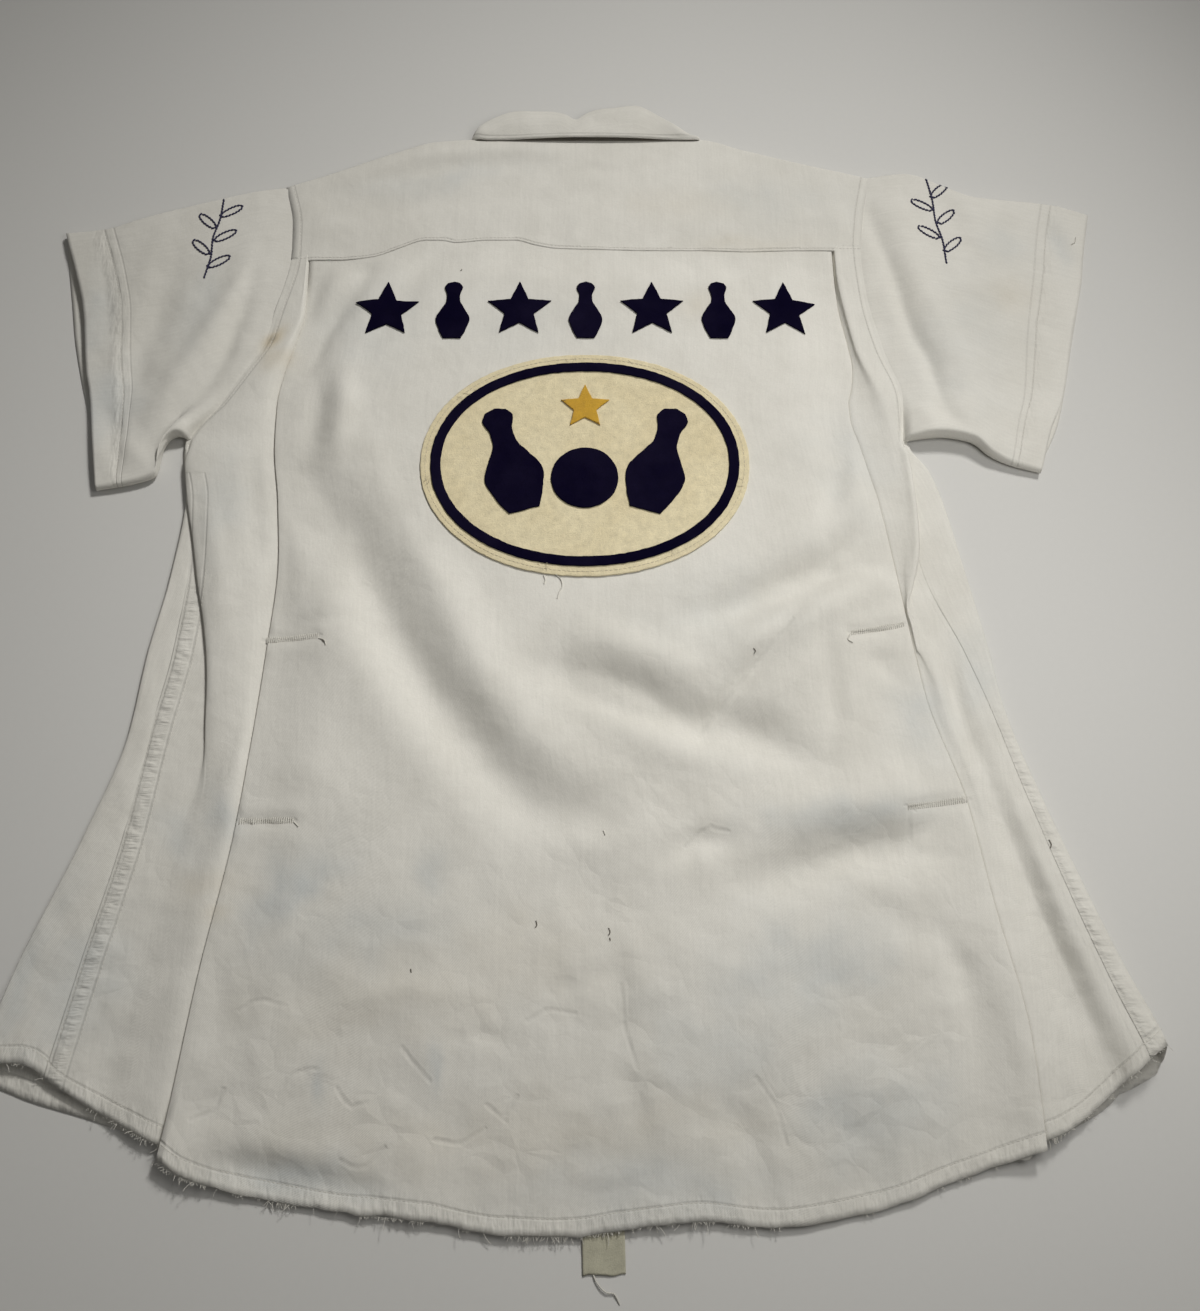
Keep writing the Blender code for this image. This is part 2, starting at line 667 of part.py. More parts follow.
def cloth(name, sheet, finish, collection, keep=None, wall=CLOTH):
    """A sheet of points as cloth. keep says which of its cells the cut piece has, by row and column."""
    rows, columns = sheet.shape[:2]
    mesh = bpy.data.meshes.new(name)
    body = bmesh.new()
    bmesh.ops.create_grid(body, x_segments=columns - 1, y_segments=rows - 1, size=1)
    points = place(sheet)
    cells = {}
    for vertex in body.verts:
        column_index = round((vertex.co.x + 1) / 2 * (columns - 1))
        row_index = round((1 - vertex.co.y) / 2 * (rows - 1))
        cells[vertex] = (row_index, column_index)
    if keep:
        waste = [
            face
            for face in body.faces
            if not keep(min(cells[v][0] for v in face.verts), min(cells[v][1] for v in face.verts))
        ]
        bmesh.ops.delete(body, geom=waste, context="FACES")
    for vertex in body.verts:
        vertex.co = points[cells[vertex]]
    bmesh.ops.remove_doubles(body, verts=body.verts, dist=WELD * MM)
    body.to_mesh(mesh)
    body.free()
    piece = bpy.data.objects.new(name, mesh)
    collection.objects.link(piece)
    solidify = piece.modifiers.new("Wall", "SOLIDIFY")
    solidify.offset = 0
    solidify.use_even_offset = True
    solidify.thickness = wall * MM
    mesh.materials.append(finish)
    mesh.shade_smooth()
    return piece


def flat_felt(name, outlines, height, thickness, finish, collection):
    """Felt cut to flat outlines, the first one its edge and any other a hole."""
    curve = bpy.data.curves.new(name, "CURVE")
    curve.dimensions = "2D"
    curve.fill_mode = "BOTH"
    curve.extrude = thickness / 2 * MM
    for outline in outlines:
        spline = curve.splines.new("POLY")
        spline.points.add(len(outline) - 1)
        for point, (x, y) in zip(spline.points, outline):
            px, py, _ = place((x, y, 0))
            point.co = (px, py, 0, 1)
        spline.use_cyclic_u = True
    curve.materials.append(finish)
    piece = bpy.data.objects.new(name, curve)
    piece.location.z = (height + thickness / 2) * MM
    collection.objects.link(piece)
    return piece


def oval(inset, points=56):
    outline = []
    for angle in np.linspace(0, 2 * np.pi, points, endpoint=False):
        c, s = math.cos(angle), math.sin(angle)
        x = math.copysign(abs(c) ** (2 / PATCH_SQUARENESS), c) * (PATCH_HALF[0] - inset)
        y = math.copysign(abs(s) ** (2 / PATCH_SQUARENESS), s) * (PATCH_HALF[1] - inset)
        outline.append((PATCH_MIDDLE[0] + x, PATCH_MIDDLE[1] + y))
    return outline


def star(middle_x, middle_y, radius):
    outline = []
    for i in range(10):
        reach = radius * (STAR_WAIST if i % 2 else 1)
        angle = math.radians(90 + 36 * i)
        outline.append((middle_x + reach * math.cos(angle), middle_y + reach * math.sin(angle)))
    return outline


def bowling_pin(middle_x, middle_y, height, lean=0):
    half = pairs(PIN_PROFILE)
    shares = np.linspace(0, 0.97, 12)
    right = [(half(s) * height, (s - 0.5) * height) for s in shares]
    outline = right + [(0, 0.5 * height)] + [(-x, y) for x, y in reversed(right)]
    c, s = math.cos(math.radians(lean)), math.sin(math.radians(lean))
    return [(middle_x + x * c - y * s, middle_y + x * s + y * c) for x, y in outline]


def disc(middle_x, middle_y, radius, points=28):
    turns = np.linspace(0, 2 * np.pi, points, endpoint=False)
    return [(middle_x + radius * math.cos(a), middle_y + radius * math.sin(a)) for a in turns]


def felt_pieces(felts, collection):
    on_back = CHEST_LAYER + CLOTH / 2 + FELT_GAP
    on_patch = on_back + FELT + FELT_GAP
    navy = felts["navy"]
    flat_felt("patch", [oval(0)], on_back, FELT, felts["cream"], collection)
    ring = [oval(PATCH_MARGIN), oval(PATCH_MARGIN + RING_WIDTH)]
    flat_felt("patch_ring", ring, on_patch, FELT, navy, collection)
    x, y = PATCH_MIDDLE
    for i in range(STARS):
        star_x = x + (2 * i - STARS + 1) * ROW_SPACING
        flat_felt(f"star_{i + 1}", [star(star_x, FELT_ROW, STAR_RADIUS)], on_back, FELT, navy, collection)
    for i in range(STARS - 1):
        pin_x = x + (2 * i - STARS + 2) * ROW_SPACING
        outline = bowling_pin(pin_x, FELT_ROW, PIN_HEIGHT)
        flat_felt(f"pin_{i + 1}", [outline], on_back, FELT, navy, collection)
    for i, away in enumerate((-1, 1)):
        pin_x, pin_y = x + away * PATCH_PIN["x"], y + PATCH_PIN["y"]
        outline = bowling_pin(pin_x, pin_y, PATCH_PIN["height"], -away * PATCH_PIN["lean"])
        flat_felt(f"patch_pin_{i + 1}", [outline], on_patch, FELT, navy, collection)
    ball = disc(x, y + PATCH_BALL["y"], PATCH_BALL["radius"])
    flat_felt("patch_ball", [ball], on_patch, FELT, navy, collection)
    gold_star = star(x, y + PATCH_STAR["y"], PATCH_STAR["radius"])
    flat_felt("patch_star", [gold_star], on_patch, FELT, felts["gold"], collection)


def button(name, y, finish, collection):
    """A dished button, turned round its own axis."""
    mesh = bpy.data.meshes.new(name)
    body = bmesh.new()
    points = [
        body.verts.new((radius * BUTTON_RADIUS * MM, 0, height * BUTTON_HEIGHT * MM))
        for radius, height in BUTTON_PROFILE
    ]
    for a, b in zip(points, points[1:]):
        body.edges.new((a, b))
    body.to_mesh(mesh)
    body.free()
    piece = bpy.data.objects.new(name, mesh)
    piece.location = place((middle(y), y, 0))
    collection.objects.link(piece)
    screw = piece.modifiers.new("Turned", "SCREW")
    screw.steps = screw.render_steps = BUTTON_SIDES
    screw.use_merge_vertices = True
    screw.merge_threshold = WELD * MM
    mesh.materials.append(finish)
    return piece


def label_sheet():
    rows = []
    for y, z in LABEL_ROUTE:
        rows.append([(x, y, z) for x in np.linspace(*LABEL_X, 4)])
    return np.array(rows)


def main():
    for old in list(bpy.data.objects):
        bpy.data.objects.remove(old)
    shirt = bpy.data.collections.new("Bowling shirt")
    bpy.context.scene.collection.children.link(shirt)
    white = material("White gabardine", (0.72, 0.7, 0.66), 0.85)
    felts = {
        "cream": material("Cream felt", (0.82, 0.75, 0.55), 0.95),
        "navy": material("Navy felt", (0.012, 0.008, 0.05), 0.95),
        "gold": material("Gold felt", (0.6, 0.33, 0.02), 0.95),
    }
    pearl = material("Pearl button", (0.8, 0.78, 0.72), 0.3)
    tape = material("Label tape", (0.62, 0.58, 0.46), 0.8)

    yoke = yoke_sheet()
    back = back_sheet(yoke[0])
    cloth("back", back, white, shirt)
    cloth(
        "yoke",
        yoke,
        white,
        shirt,
        keep=lambda row, col: row < YOKE_SPANS or not neck_columns[0] <= col < neck_columns[1],
    )
    fronts = {}
    for side, edges, edge_column in ((LEFT, LEFT_SLEEVE, 0), (RIGHT, RIGHT_SLEEVE, -1)):
        front, flat = front_sheet(side, yoke)
        fronts[side.name] = front
        cloth(
            f"front_{side.name}",
            front,
            white,
            shirt,
            keep=lambda row, col, flat=flat: col < flat - 1 or row >= ROWS_ABOVE - 1,
        )
        armhole = yoke[:, edge_column, 1]
        upper_levels = [*armhole[: YOKE_SPANS + 1], *back[:ROWS_ABOVE, edge_column, 1]]
        lower_levels = [*armhole[-2:], *front[:ROWS_ABOVE, flat - 1, 1]]
        cloth(f"sleeve_{side.name}", sleeve_sheet(side, edges, upper_levels, lower_levels), white, shirt)
    cloth("collar", collar_sheet(fronts), white, shirt)
    felt_pieces(felts, shirt)
    for i in range(BUTTONS):
        button(f"button_{i + 1}", BUTTON_TOP - i * BUTTON_SPACING, pearl, shirt)
    cloth("label", label_sheet(), tape, shirt, wall=LABEL_CLOTH)


main()
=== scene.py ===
"""A short-sleeved bowling shirt, laid flat with its back up, dressed over its solid model.

The tables are in millimetres from the middle of the chest, +Y to the collar and +X to the wearer's right, and
place() turns them into the model's own frame. Each cut piece is a fine sheet of points with a wall.
"""

import math

import bmesh
import bpy
import numpy as np
from bpy.props import FloatProperty, FloatVectorProperty, IntProperty, PointerProperty
from bpy.types import Operator, Panel, PropertyGroup
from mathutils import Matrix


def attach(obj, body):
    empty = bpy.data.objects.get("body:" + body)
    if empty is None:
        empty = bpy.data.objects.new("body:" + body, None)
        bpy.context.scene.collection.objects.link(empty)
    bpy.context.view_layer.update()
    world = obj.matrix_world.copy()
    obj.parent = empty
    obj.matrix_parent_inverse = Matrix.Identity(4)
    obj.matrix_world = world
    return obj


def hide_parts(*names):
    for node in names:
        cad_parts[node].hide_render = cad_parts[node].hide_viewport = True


bl_info = {
    "name": "Bowling shirt, laid flat",
    "version": (1, 0, 0),
    "blender": (4, 5, 0),
    "location": "3D View > Sidebar > Shirt",
    "description": "Makes the cloth, felt, stitches and frayed edges of a bowling shirt",
    "category": "Object",
}

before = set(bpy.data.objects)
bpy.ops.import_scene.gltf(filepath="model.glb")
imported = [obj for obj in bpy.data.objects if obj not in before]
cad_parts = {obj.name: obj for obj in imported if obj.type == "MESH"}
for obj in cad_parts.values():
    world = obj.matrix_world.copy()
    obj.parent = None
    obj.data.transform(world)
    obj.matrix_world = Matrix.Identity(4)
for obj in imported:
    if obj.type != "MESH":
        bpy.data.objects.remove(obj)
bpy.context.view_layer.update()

MM = 0.001
BOX_MIDDLE = (-15.4, -8.0)
ROOT = "root"

# Heights of the middle of each layer of cloth.
FLOOR_LAYER = 0.5
SIDE_LAYER = 1.5
FOLD_LAYER = 2.5
SEAM_LAYER = 3.0
CENTRE_LAYER = 3.6
HEM_LAYER = 3.4
ARMHOLE_LAYER = 6.0
YOKE_LAYER = 6.6
CHEST_LAYER = 9.5
ARMPIT = 102
PLEAT_RADIUS = 0.55
PLEAT_DEPTH = 32
FAR = 60.0

# The side of the body: its seam or armhole, the outline of the front below the armpit, the pleat's outer fold, how
# far the cloth stands up, and a fold that laps over the seam: where it is and how far it is folded, from 0 to 1.
SIDE_COLUMNS = ("y", "edge", "outline", "pleat", "puff")
LEFT_SIDE = (
    (316, -228, -228, -206, 0),
    (278, -219, -219, -206, 0.3),
    (250, -218, -218, -206, 0.5),
    (205, -226, -226, -206, 1),
    (180, -231, -231, -210.5, 2),
    (157, -243, -243, -216, 2.5),
    (134, -256, -256, -219, 3),
    (102, -277, -278.4, -218, 4),
    (59, -268, -273, -212, 5),
    (5, -265, -277, -207.5, 5.5),
    (-46, -268, -285, -210, 5),
    (-98, -276, -290, -213, 3.6),
    (-163, -284, -309, -218, 2),
    (-243, -300, -338, -230, 1.2),
    (-303, -310, -352, -237, 1),
    (-345, -315, -358, -242, 1),
)
RIGHT_SIDE = (
    (320, 195, 195, 165, 0),
    (286, 188, 188, 165, 0.3),
    (256, 185, 185, 165, 0.5),
    (215, 187, 187, 166, 1),
    (176, 194, 194, 171.5, 1),
    (163, 198, 198, 173, 1.4),
    (146, 204, 204, 171.5, 2),
    (133, 206, 206, 168.5, 2.5),
    (120, 206, 206, 169, 2.5),
    (102, 205, 207, 173.5, 2.5),
    (82, 205, 219, 178, 2.5),
    (59, 204, 226, 183, 2.5),
    (17, 207, 234, 189, 3),
    (-46, 230, 245, 197, 1.4),
    (-79, 241, 249, 202, 1),
    (-142, 258, 266, 220, 0.8),
    (-203, 276, 286, 229, 0.8),
    (-280, 302, 314, 241, 1.2),
    (-341, 318, 330, 243, 1),
)
LIP_COLUMNS = ("y", "x", "folded")
LEFT_LIP = (
    (316, -219, 0),
    (250, -210, 0),
    (180, -224, 0),
    (134, -250, 0),
    (102, -277, 0.1),
    (92, -277, 0.7),
    (81, -275, 1),
    (59, -271, 1),
    (30, -264, 1),
    (2, -258, 1),
    (-26, -251, 1),
    (-53, -246, 1),
    (-72, -244, 0.9),
    (-92, -243, 0.7),
    (-129, -240, 0.2),
    (-155, -242, 0),
    (-243, -258, 0),
    (-345, -270, 0),
)
RIGHT_LIP = (
    (320, 186, 0),
    (256, 176, 0),
    (176, 186, 0),
    (134, 200, 0),
    (102, 206, 0.2),
    (92, 207, 0.8),
    (48, 207.5, 1),
    (30, 207, 1),
    (18, 205.5, 1),
    (-5, 199, 1),
    (-20, 194.5, 0.6),
    (-30, 195, 0),
    (-50, 212, 0),
    (-142, 238, 0),
    (-280, 271, 0),
    (-341, 280, 0),
)

YOKE_SEAM = (
    (-218, 247),
    (-205, 248),
    (-185, 248),
    (-160, 251),
    (-143, 258),
    (-124, 265),
    (-112, 265),
    (-103, 263),
    (-80, 265),
    (-60, 265),
    (-46, 261),
    (-30, 258),
    (0, 257),
    (36, 256),
    (71, 256),
    (103, 255),
    (142, 256),
    (185, 256),
)
SHOULDER_FOLD = (
    (-228, 313),
    (-205, 321),
    (-147, 345),
    (-121, 354),
    (-96, 356),
    (0, 357),
    (74, 356),
    (103, 347),
    (147, 334),
    (195, 321),
)
YOKE_LEVEL = 252
SHOULDER_LEVEL = 320
FRONT_YOKE = 42
NECK = (0.302, 0.744)

BACK_HEM = (
    (0, -341),
    (0.03, -350),
    (0.11, -360),
    (0.21, -368),
    (0.30, -372),
    (0.39, -379),
    (0.46, -380),
    (0.56, -374),
    (0.61, -372),
    (0.69, -375),
    (0.80, -368),
    (0.90, -352),
    (1, -336),
)
# Where the side panels and the fronts' turned edges end, along X, and how far the hem stands up there.
LEFT_FLANK_HEM = (
    (-352, -290),
    (-337, -291),
    (-327, -291),
    (-319, -293),
    (-312, -297),
    (-303, -305),
    (-285, -314),
    (-265, -323),
    (-243, -333),
    (-210, -344),
)
RIGHT_FLANK_HEM = (
    (210, -338),
    (242, -331),
    (254, -327),
    (267, -320),
    (279, -311),
    (286, -305),
    (294, -297),
    (304, -288),
    (313, -282),
    (330, -276),
)
LEFT_HEM_LIFT = ((-352, 2.4), (-336, 3.4), (-322, 3.2), (-308, 1.8), (-290, 0.7), (-243, 0.2))
RIGHT_HEM_LIFT = ((242, 0.4), (275, 1.6), (288, 3.6), (300, 6), (312, 6.5), (330, 4))
HIDDEN_HEM = -341
NECKLINE = (
    (0, 272, 44, 88),
    (12, 273, 44, 82),
    (25, 276, 43, 74),
    (38, 281, 42, 65),
    (50, 287, 39, 56),
    (60, 293, 36, 48),
    (70, 300, 31, 38),
    (79, 308, 26, 26),
)
LEFT_FRONT_HEM = ((0, -352), (0.4, -346), (0.7, -333), (0.745, -328), (0.775, -324.5), (0.821, -319.5), (0.864, -315.5), (0.91, -311), (0.957, -305), (1, -301))
RIGHT_FRONT_HEM = ((0, -352), (0.4, -346), (0.7, -334), (0.8, -327), (0.85, -320), (0.888, -313), (0.912, -307), (0.931, -305), (0.958, -301), (0.988, -296), (1, -291))
MIDDLE_TOP = -11
MIDDLE_HEM = 1
OVERLAP = 15
PLACKET = 18
PLACKET_SLOPE = 60
BUTTON_ROOM = 2.5

LEFT_SLEEVE = {
    "upper_hem": ((-383, 273), (-370, 237), (-361, 208), (-352, 159), (-347, 140), (-340, 105), (-333, 68)),
    "lower_hem": ((-383, 272), (-379, 250), (-372, 218), (-365, 185), (-356, 153), (-341, 105), (-333, 68)),
    "top": ((-228, 313), (-248, 309), (-304, 293), (-332, 284), (-355, 276), (-383, 273)),
    "under": ((-277, 105), (-284, 107), (-291, 103), (-295, 92), (-296, 79), (-308, 73), (-333, 68)),
}
RIGHT_SLEEVE = {
    "upper_hem": ((352, 289), (343, 250), (340, 233), (326, 183), (314, 136), (303, 112), (293, 81)),
    "lower_hem": ((352, 288), (344, 250), (341, 233), (328, 183), (316, 137), (308, 112), (293, 81)),
    "top": ((195, 321), (224, 324), (252, 312), (273, 303), (328, 297), (352, 289)),
    "under": ((205, 104), (217, 105), (230, 106), (248, 103), (262, 92), (275, 86), (293, 81)),
}
# How high the sleeve's underarm fold stands, by the share of the way from armpit to hem, and how far it overhangs.
LEFT_UNDERARM = ((0, 8), (0.12, 13), (0.3, 12), (0.5, 8), (1, 6))
RIGHT_UNDERARM = ((0, 8), (0.2, 14), (0.5, 13), (0.75, 8), (1, 6))
OVERHANG = ((0, 6), (0.2, 14), (0.5, 12), (0.75, 6), (1, 4))

COLLAR_COLUMNS = ("x", "y", "z", "reach", "heading", "spread")
COLLAR_LEFT = (
    (-11, 353, 7, 20.5, 90, 0),
    (-18, 353, 7, 15.5, 90, 0),
    (-26, 353, 7, 20.5, 90, 0),
    (-36, 353, 7, 23, 90, 0),
    (-50, 353, 7, 23, 90, 0),
    (-64, 353, 7, 22.5, 90, 0),
    (-75, 353, 7, 18.5, 91, 0),
    (-83, 353, 7, 14, 92, 0),
    (-90, 353, 6.8, 8.5, 92, 0.1),
    (-96, 352, 4.4, 4.5, 70, 0.5),
    (-98, 347, 0.9, 6, 20, 1),
    (-94, 334, 0.6, 12, 8, 1),
    (-94, 320, 0.6, 19, 14, 1),
)
COLLAR_RIGHT = (
    (-6, 353, 7, 23, 90, 0),
    (8, 353, 7, 26, 90, 0),
    (26, 353, 7, 28, 90, 0),
    (38, 353, 7, 23, 90, 0),
    (47, 353, 7, 16.5, 90, 0),
    (57, 353, 7, 9, 90, 0),
    (66, 353, 7, 4, 88, 0),
    (72, 353, 6.8, 3, 88, 0.1),
    (75, 352, 4.4, 4, 110, 0.5),
    (75, 347, 0.9, 6, 160, 1),
    (71, 334, 0.6, 12, 172, 1),
    (71, 320, 0.6, 19, 166, 1),
)
# How high the collar's free edge stands over its own first layer, along X.
COLLAR_GAP = ((-97, 0.9), (-74, 0.9), (-50, 2.4), (-18, 4.0), (12, 3.8), (40, 2.2), (57, 0.9), (75, 0.9))

# Soft ridges and troughs: a route, its half width, its height, and how sharp its crest is, from 0 to 1.
CREASE_COLUMNS = ("route", "half_width", "height", "sharp")
# How high the cloth stands along each pleat, by Y.
LEFT_RIDGE = ((-345, 2.5), (-200, 3), (-120, 1.5), (-60, 0), (250, 0))
RIGHT_RIDGE = ((-345, 8), (-280, 9), (-210, 6.5), (-150, 3.6), (-100, 2.6), (-40, 2.6), (0, 1.6), (60, 0.8), (120, 0), (250, 0))
RIDGE_WIDTH = 19
# How high the side seam is rolled up, by Y.
LEFT_ROLL = ((-345, 0), (250, 0))
RIGHT_ROLL = ((-345, 5), (-300, 8.5), (-220, 9), (-165, 7), (-120, 4.4), (-80, 2.8), (-40, 1.4), (0, 0), (250, 0))
ROLL_TOP = 9
ROLL_WALL = 12
ROLL_SLOPE = 40
BACK_CREASES = (
    (((-188, 74), (-161, 30), (-134, -30), (-107, -73), (-70, -119), (-42, -146), (-2, -153)), 17, -5.0, 0),
    (((-146, 88), (-120, 44), (-100, -6), (-76, -56), (-44, -98), (-6, -124)), 17, 3.6, 0),
    (((-208, 50), (-178, -6), (-148, -56), (-116, -106), (-78, -146)), 20, 1.8, 0),
    (((190, 30), (151, 9), (120, -2), (86, -17), (62, -24)), 13, -6.2, 0),
    (((176, 2), (146, -16), (113, -34), (83, -48)), 13, 4.6, 0),
    (((182, 62), (150, 44), (118, 26)), 12, 1.8, 0),
    (((-34, -58), (-1, -70), (25, -81), (57, -94), (83, -96), (107, -106), (128, -120)), 14, -5.2, 0),
    (((-6, -36), (30, -50), (62, -60)), 13, 3.4, 0),
    (((10, -94), (44, -108), (74, -120)), 13, 1.8, 0),
    (((60, -102), (81, -75), (95, -58), (109, -41), (129, -15)), 6, -3.0, 0.2),
    (((150, -30), (122, -62), (100, -84)), 12, 2.6, 0),
    (((216, -160), (178, -170), (148, -172), (118, -184), (90, -194)), 14, -5.4, 0),
    (((96, -156), (140, -145), (188, -136)), 16, 2.8, 0),
    (((42, -176), (58, -166), (76, -165)), 8, -3.0, 0.1),
    (((-20, -170), (10, -168), (40, -154)), 12, 1.2, 0),
    (((140, -30), (143, -60), (145, -90), (140, -116)), 6, -1.6, 0.2),
    (((172, -52), (184, -58), (196, -54)), 7, -2.6, 0),
    (((-20, -190), (10, -206), (50, -200)), 16, -1.0, 0),
    (((166, 136), (159, 102), (155, 72), (146, 40)), 9, -2.6, 0.2),
    (((176, 130), (174, 100), (172, 72), (166, 45)), 9, 1.8, 0),
    (((-162, 250), (-168, 228), (-181, 205), (-193, 187), (-202, 159)), 8, -3.4, 0.1),
    (((-182, 242), (-188, 222), (-198, 200)), 8, 1.6, 0),
    (((-116, 252), (-131, 228), (-146, 200), (-158, 176)), 9, -2.2, 0),
    (((-190, 150), (-191, 125), (-193, 96)), 9, -2.1, 0),
    (((-174, 152), (-171, 125), (-176, 98)), 9, 2.2, 0),
    (((196, 0), (170, 6), (150, 0)), 8, 1.2, 0),
    (((-205, 70), (-183, 32), (-172, -10)), 14, -1.5, 0),
    (((-216, -34), (-189, -30), (-160, -23)), 5, -1.2, 0.2),
    (((-100, 256), (-122, 226), (-135, 200)), 9, -0.9, 0),
    (((-60, 252), (-70, 232), (-84, 214)), 8, -0.8, 0),
    (((60, 250), (66, 236), (62, 222)), 6, -0.7, 0.2),
    (((90, 250), (98, 232), (110, 216)), 9, -0.8, 0),
    (((-94, -278), (-67, -276), (-48, -281)), 4, -0.9, 0.5),
    (((7, -232), (10, -257), (14, -290), (24, -330)), 7, -0.9, 0.3),
    (((-32, -254), (-6, -246), (9, -241)), 5, -0.7, 0.4),
    (((-228, -284), (-208, -268), (-192, -250)), 6, -0.8, 0.4),
    (((-228, -322), (-212, -311), (-196, -303)), 5, -0.9, 0.4),
    (((-214, -344), (-190, -348), (-163, -352), (-130, -358)), 10, -2.4, 0),
    (((-206, -332), (-170, -334), (-136, -342)), 9, 0.9, 0),
    (((70, -312), (82, -334), (90, -362)), 10, -1.4, 0.1),
    (((134, -322), (152, -340), (142, -362)), 9, -1.4, 0.1),
    (((214, -314), (236, -338)), 10, -1.8, 0),
    (((150, -196), (180, -216), (204, -240)), 9, -1.2, 0.2),
    (((190, -204), (205, -232), (214, -262), (228, -310)), 7, -2.2, 0.2),
    (((120, -240), (150, -262), (170, -300)), 16, -0.9, 0),
    (((-30, -330), (20, -300), (60, -290)), 22, 0.9, 0),
    (((-180, -240), (-120, -300), (-60, -340)), 18, -1.0, 0),
    (((-150, -262), (-110, -250), (-70, -256)), 10, 0.8, 0.2),
    (((-200, -110), (-150, -140), (-110, -180)), 24, 0.8, 0),
    (((40, -220), (70, -240), (110, -236)), 12, 0.7, 0.2),
)
# Sharp creases, as lines.
CRISP_CREASES = (
    ((61, -100), (81, -75), (95, -58), (109, -41), (120, -28)),
    ((52, -168), (58, -162), (65, -158), (74, -160)),
    ((-178, -306), (-174, -299), (-168, -295), (-160, -294)),
    ((-145, -306), (-139, -314), (-131, -312)),
    ((-140, -342), (-134, -345), (-127, -344), (-119, -336)),
    ((-224, -320), (-214, -316), (-210, -306)),
    ((-110, -284), (-103, -292), (-96, -299)),
    ((-89, -331), (-77, -333), (-65, -326)),
    ((-61, -314), (-53, -320), (-47, -310)),
    ((-204, -262), (-198, -258), (-190, -257), (-180, -260)),
    ((-40, -268), (-30, -262), (-16, -264)),
    ((12, -250), (14, -272), (20, -292)),
    ((88, -300), (98, -314), (102, -332)),
)
SIDE_CREASES = (
    (((-262, 60), (-246, 20), (-238, -30)), 9, 1.6, 0),
    (((-232, 96), (-228, 60), (-222, 20)), 7, -1.6, 0),
    (((-252, -150), (-232, -120), (-222, -96)), 9, -1.6, 0.1),
    (((-246, -182), (-232, -160), (-226, -150)), 9, -1.4, 0.1),
    (((-276, -215), (-258, -196), (-240, -188)), 9, -1.0, 0.2),
    (((-290, -262), (-268, -240), (-246, -232)), 10, -1.2, 0.2),
    (((-292, -286), (-270, -276), (-252, -282)), 7, -1.2, 0.3),
    (((240, -150), (247, -180), (256, -214), (264, -250), (276, -290)), 11, -2.2, 0),
    (((205, -38), (209, -60), (212, -88), (220, -116)), 6, 1.8, 0),
    (((229, -34), (221, -58), (219, -82), (226, -112)), 7, -2.6, 0),
)
SLEEVE_CREASES = (
    (((-240, 262), (-244, 236), (-252, 197), (-259, 163), (-272, 133), (-281, 116)), 7, -2.7, 0),
    (((-241, 262), (-246, 238), (-266, 196), (-284, 157), (-299, 125)), 10, 3.6, 0),
    (((-302, 243), (-308, 197), (-315, 158), (-316, 136)), 12, -3.0, 0),
    (((-322, 240), (-326, 196), (-330, 156)), 8, 1.0, 0),
    (((-330, 250), (-326, 200), (-318, 150)), 9, -1.0, 0),
    (((-352, 250), (-345, 216), (-340, 184)), 6, -1.5, 0.1),
    (((-338, 140), (-330, 118), (-322, 92)), 7, -1.8, 0.1),
    (((-318, 104), (-308, 92), (-300, 84)), 7, 1.6, 0),
    (((-350, 120), (-340, 100), (-330, 84)), 8, 1.2, 0),
    (((194, 288), (202, 256), (207, 236), (211, 211), (216, 188), (225, 167), (230, 142), (235, 122), (244, 106)), 6, -3.8, 0.15),
    (((212, 290), (219, 258), (228, 218), (242, 172), (256, 130)), 11, 3.0, 0),
    (((222, 135), (232, 119), (242, 110), (256, 100)), 6, -2.2, 0.2),
    (((244, 300), (258, 270), (262, 240)), 10, -1.3, 0),
    (((270, 280), (280, 230), (284, 180)), 16, 1.2, 0),
    (((318, 282), (328, 262), (332, 244)), 6, -1.2, 0.1),
    (((322, 190), (312, 150), (300, 118)), 6, -1.2, 0.1),
    (((300, 130), (296, 112), (290, 96)), 5, 1.6, 0),
)
YOKE_CREASES = (
    (((-200, 300), (-165, 316), (-117, 328), (-73, 334), (-42, 330)), 9, -2.4, 0),
    (((-190, 320), (-140, 340), (-80, 346), (-10, 344)), 8, 1.8, 0),
    (((-46, 311), (-29, 322), (-7, 328), (12, 325)), 3.2, -1.0, 0.4),
    (((-40, 304), (-10, 318), (14, 314)), 7, 0.8, 0.1),
    (((-210, 292), (-160, 296), (-110, 300)), 13, -1.2, 0),
    (((130, 262), (150, 280), (160, 306)), 8, -0.9, 0.1),
    (((168, 262), (170, 276), (166, 290)), 5, 1.0, 0.2),
    (((-36, 262), (-30, 280), (-34, 296)), 8, -0.8, 0.1),
    (((60, 262), (64, 276), (60, 290)), 6, 0.6, 0.1),
    (((-20, 262), (-16, 274)), 5, 0.7, 0.2),
    (((90, 262), (96, 272)), 5, 0.6, 0.2),
)
# Short seams that hold each pleat closed: their ends.
TACKS = (
    ((-211, -38), (-177, -37)),
    ((-215, -154), (-183, -154)),
    ((158, -35), (192, -28)),
    ((184, -146), (220, -141)),
)

TACK_TURN = ((184, -147), (185, -162))

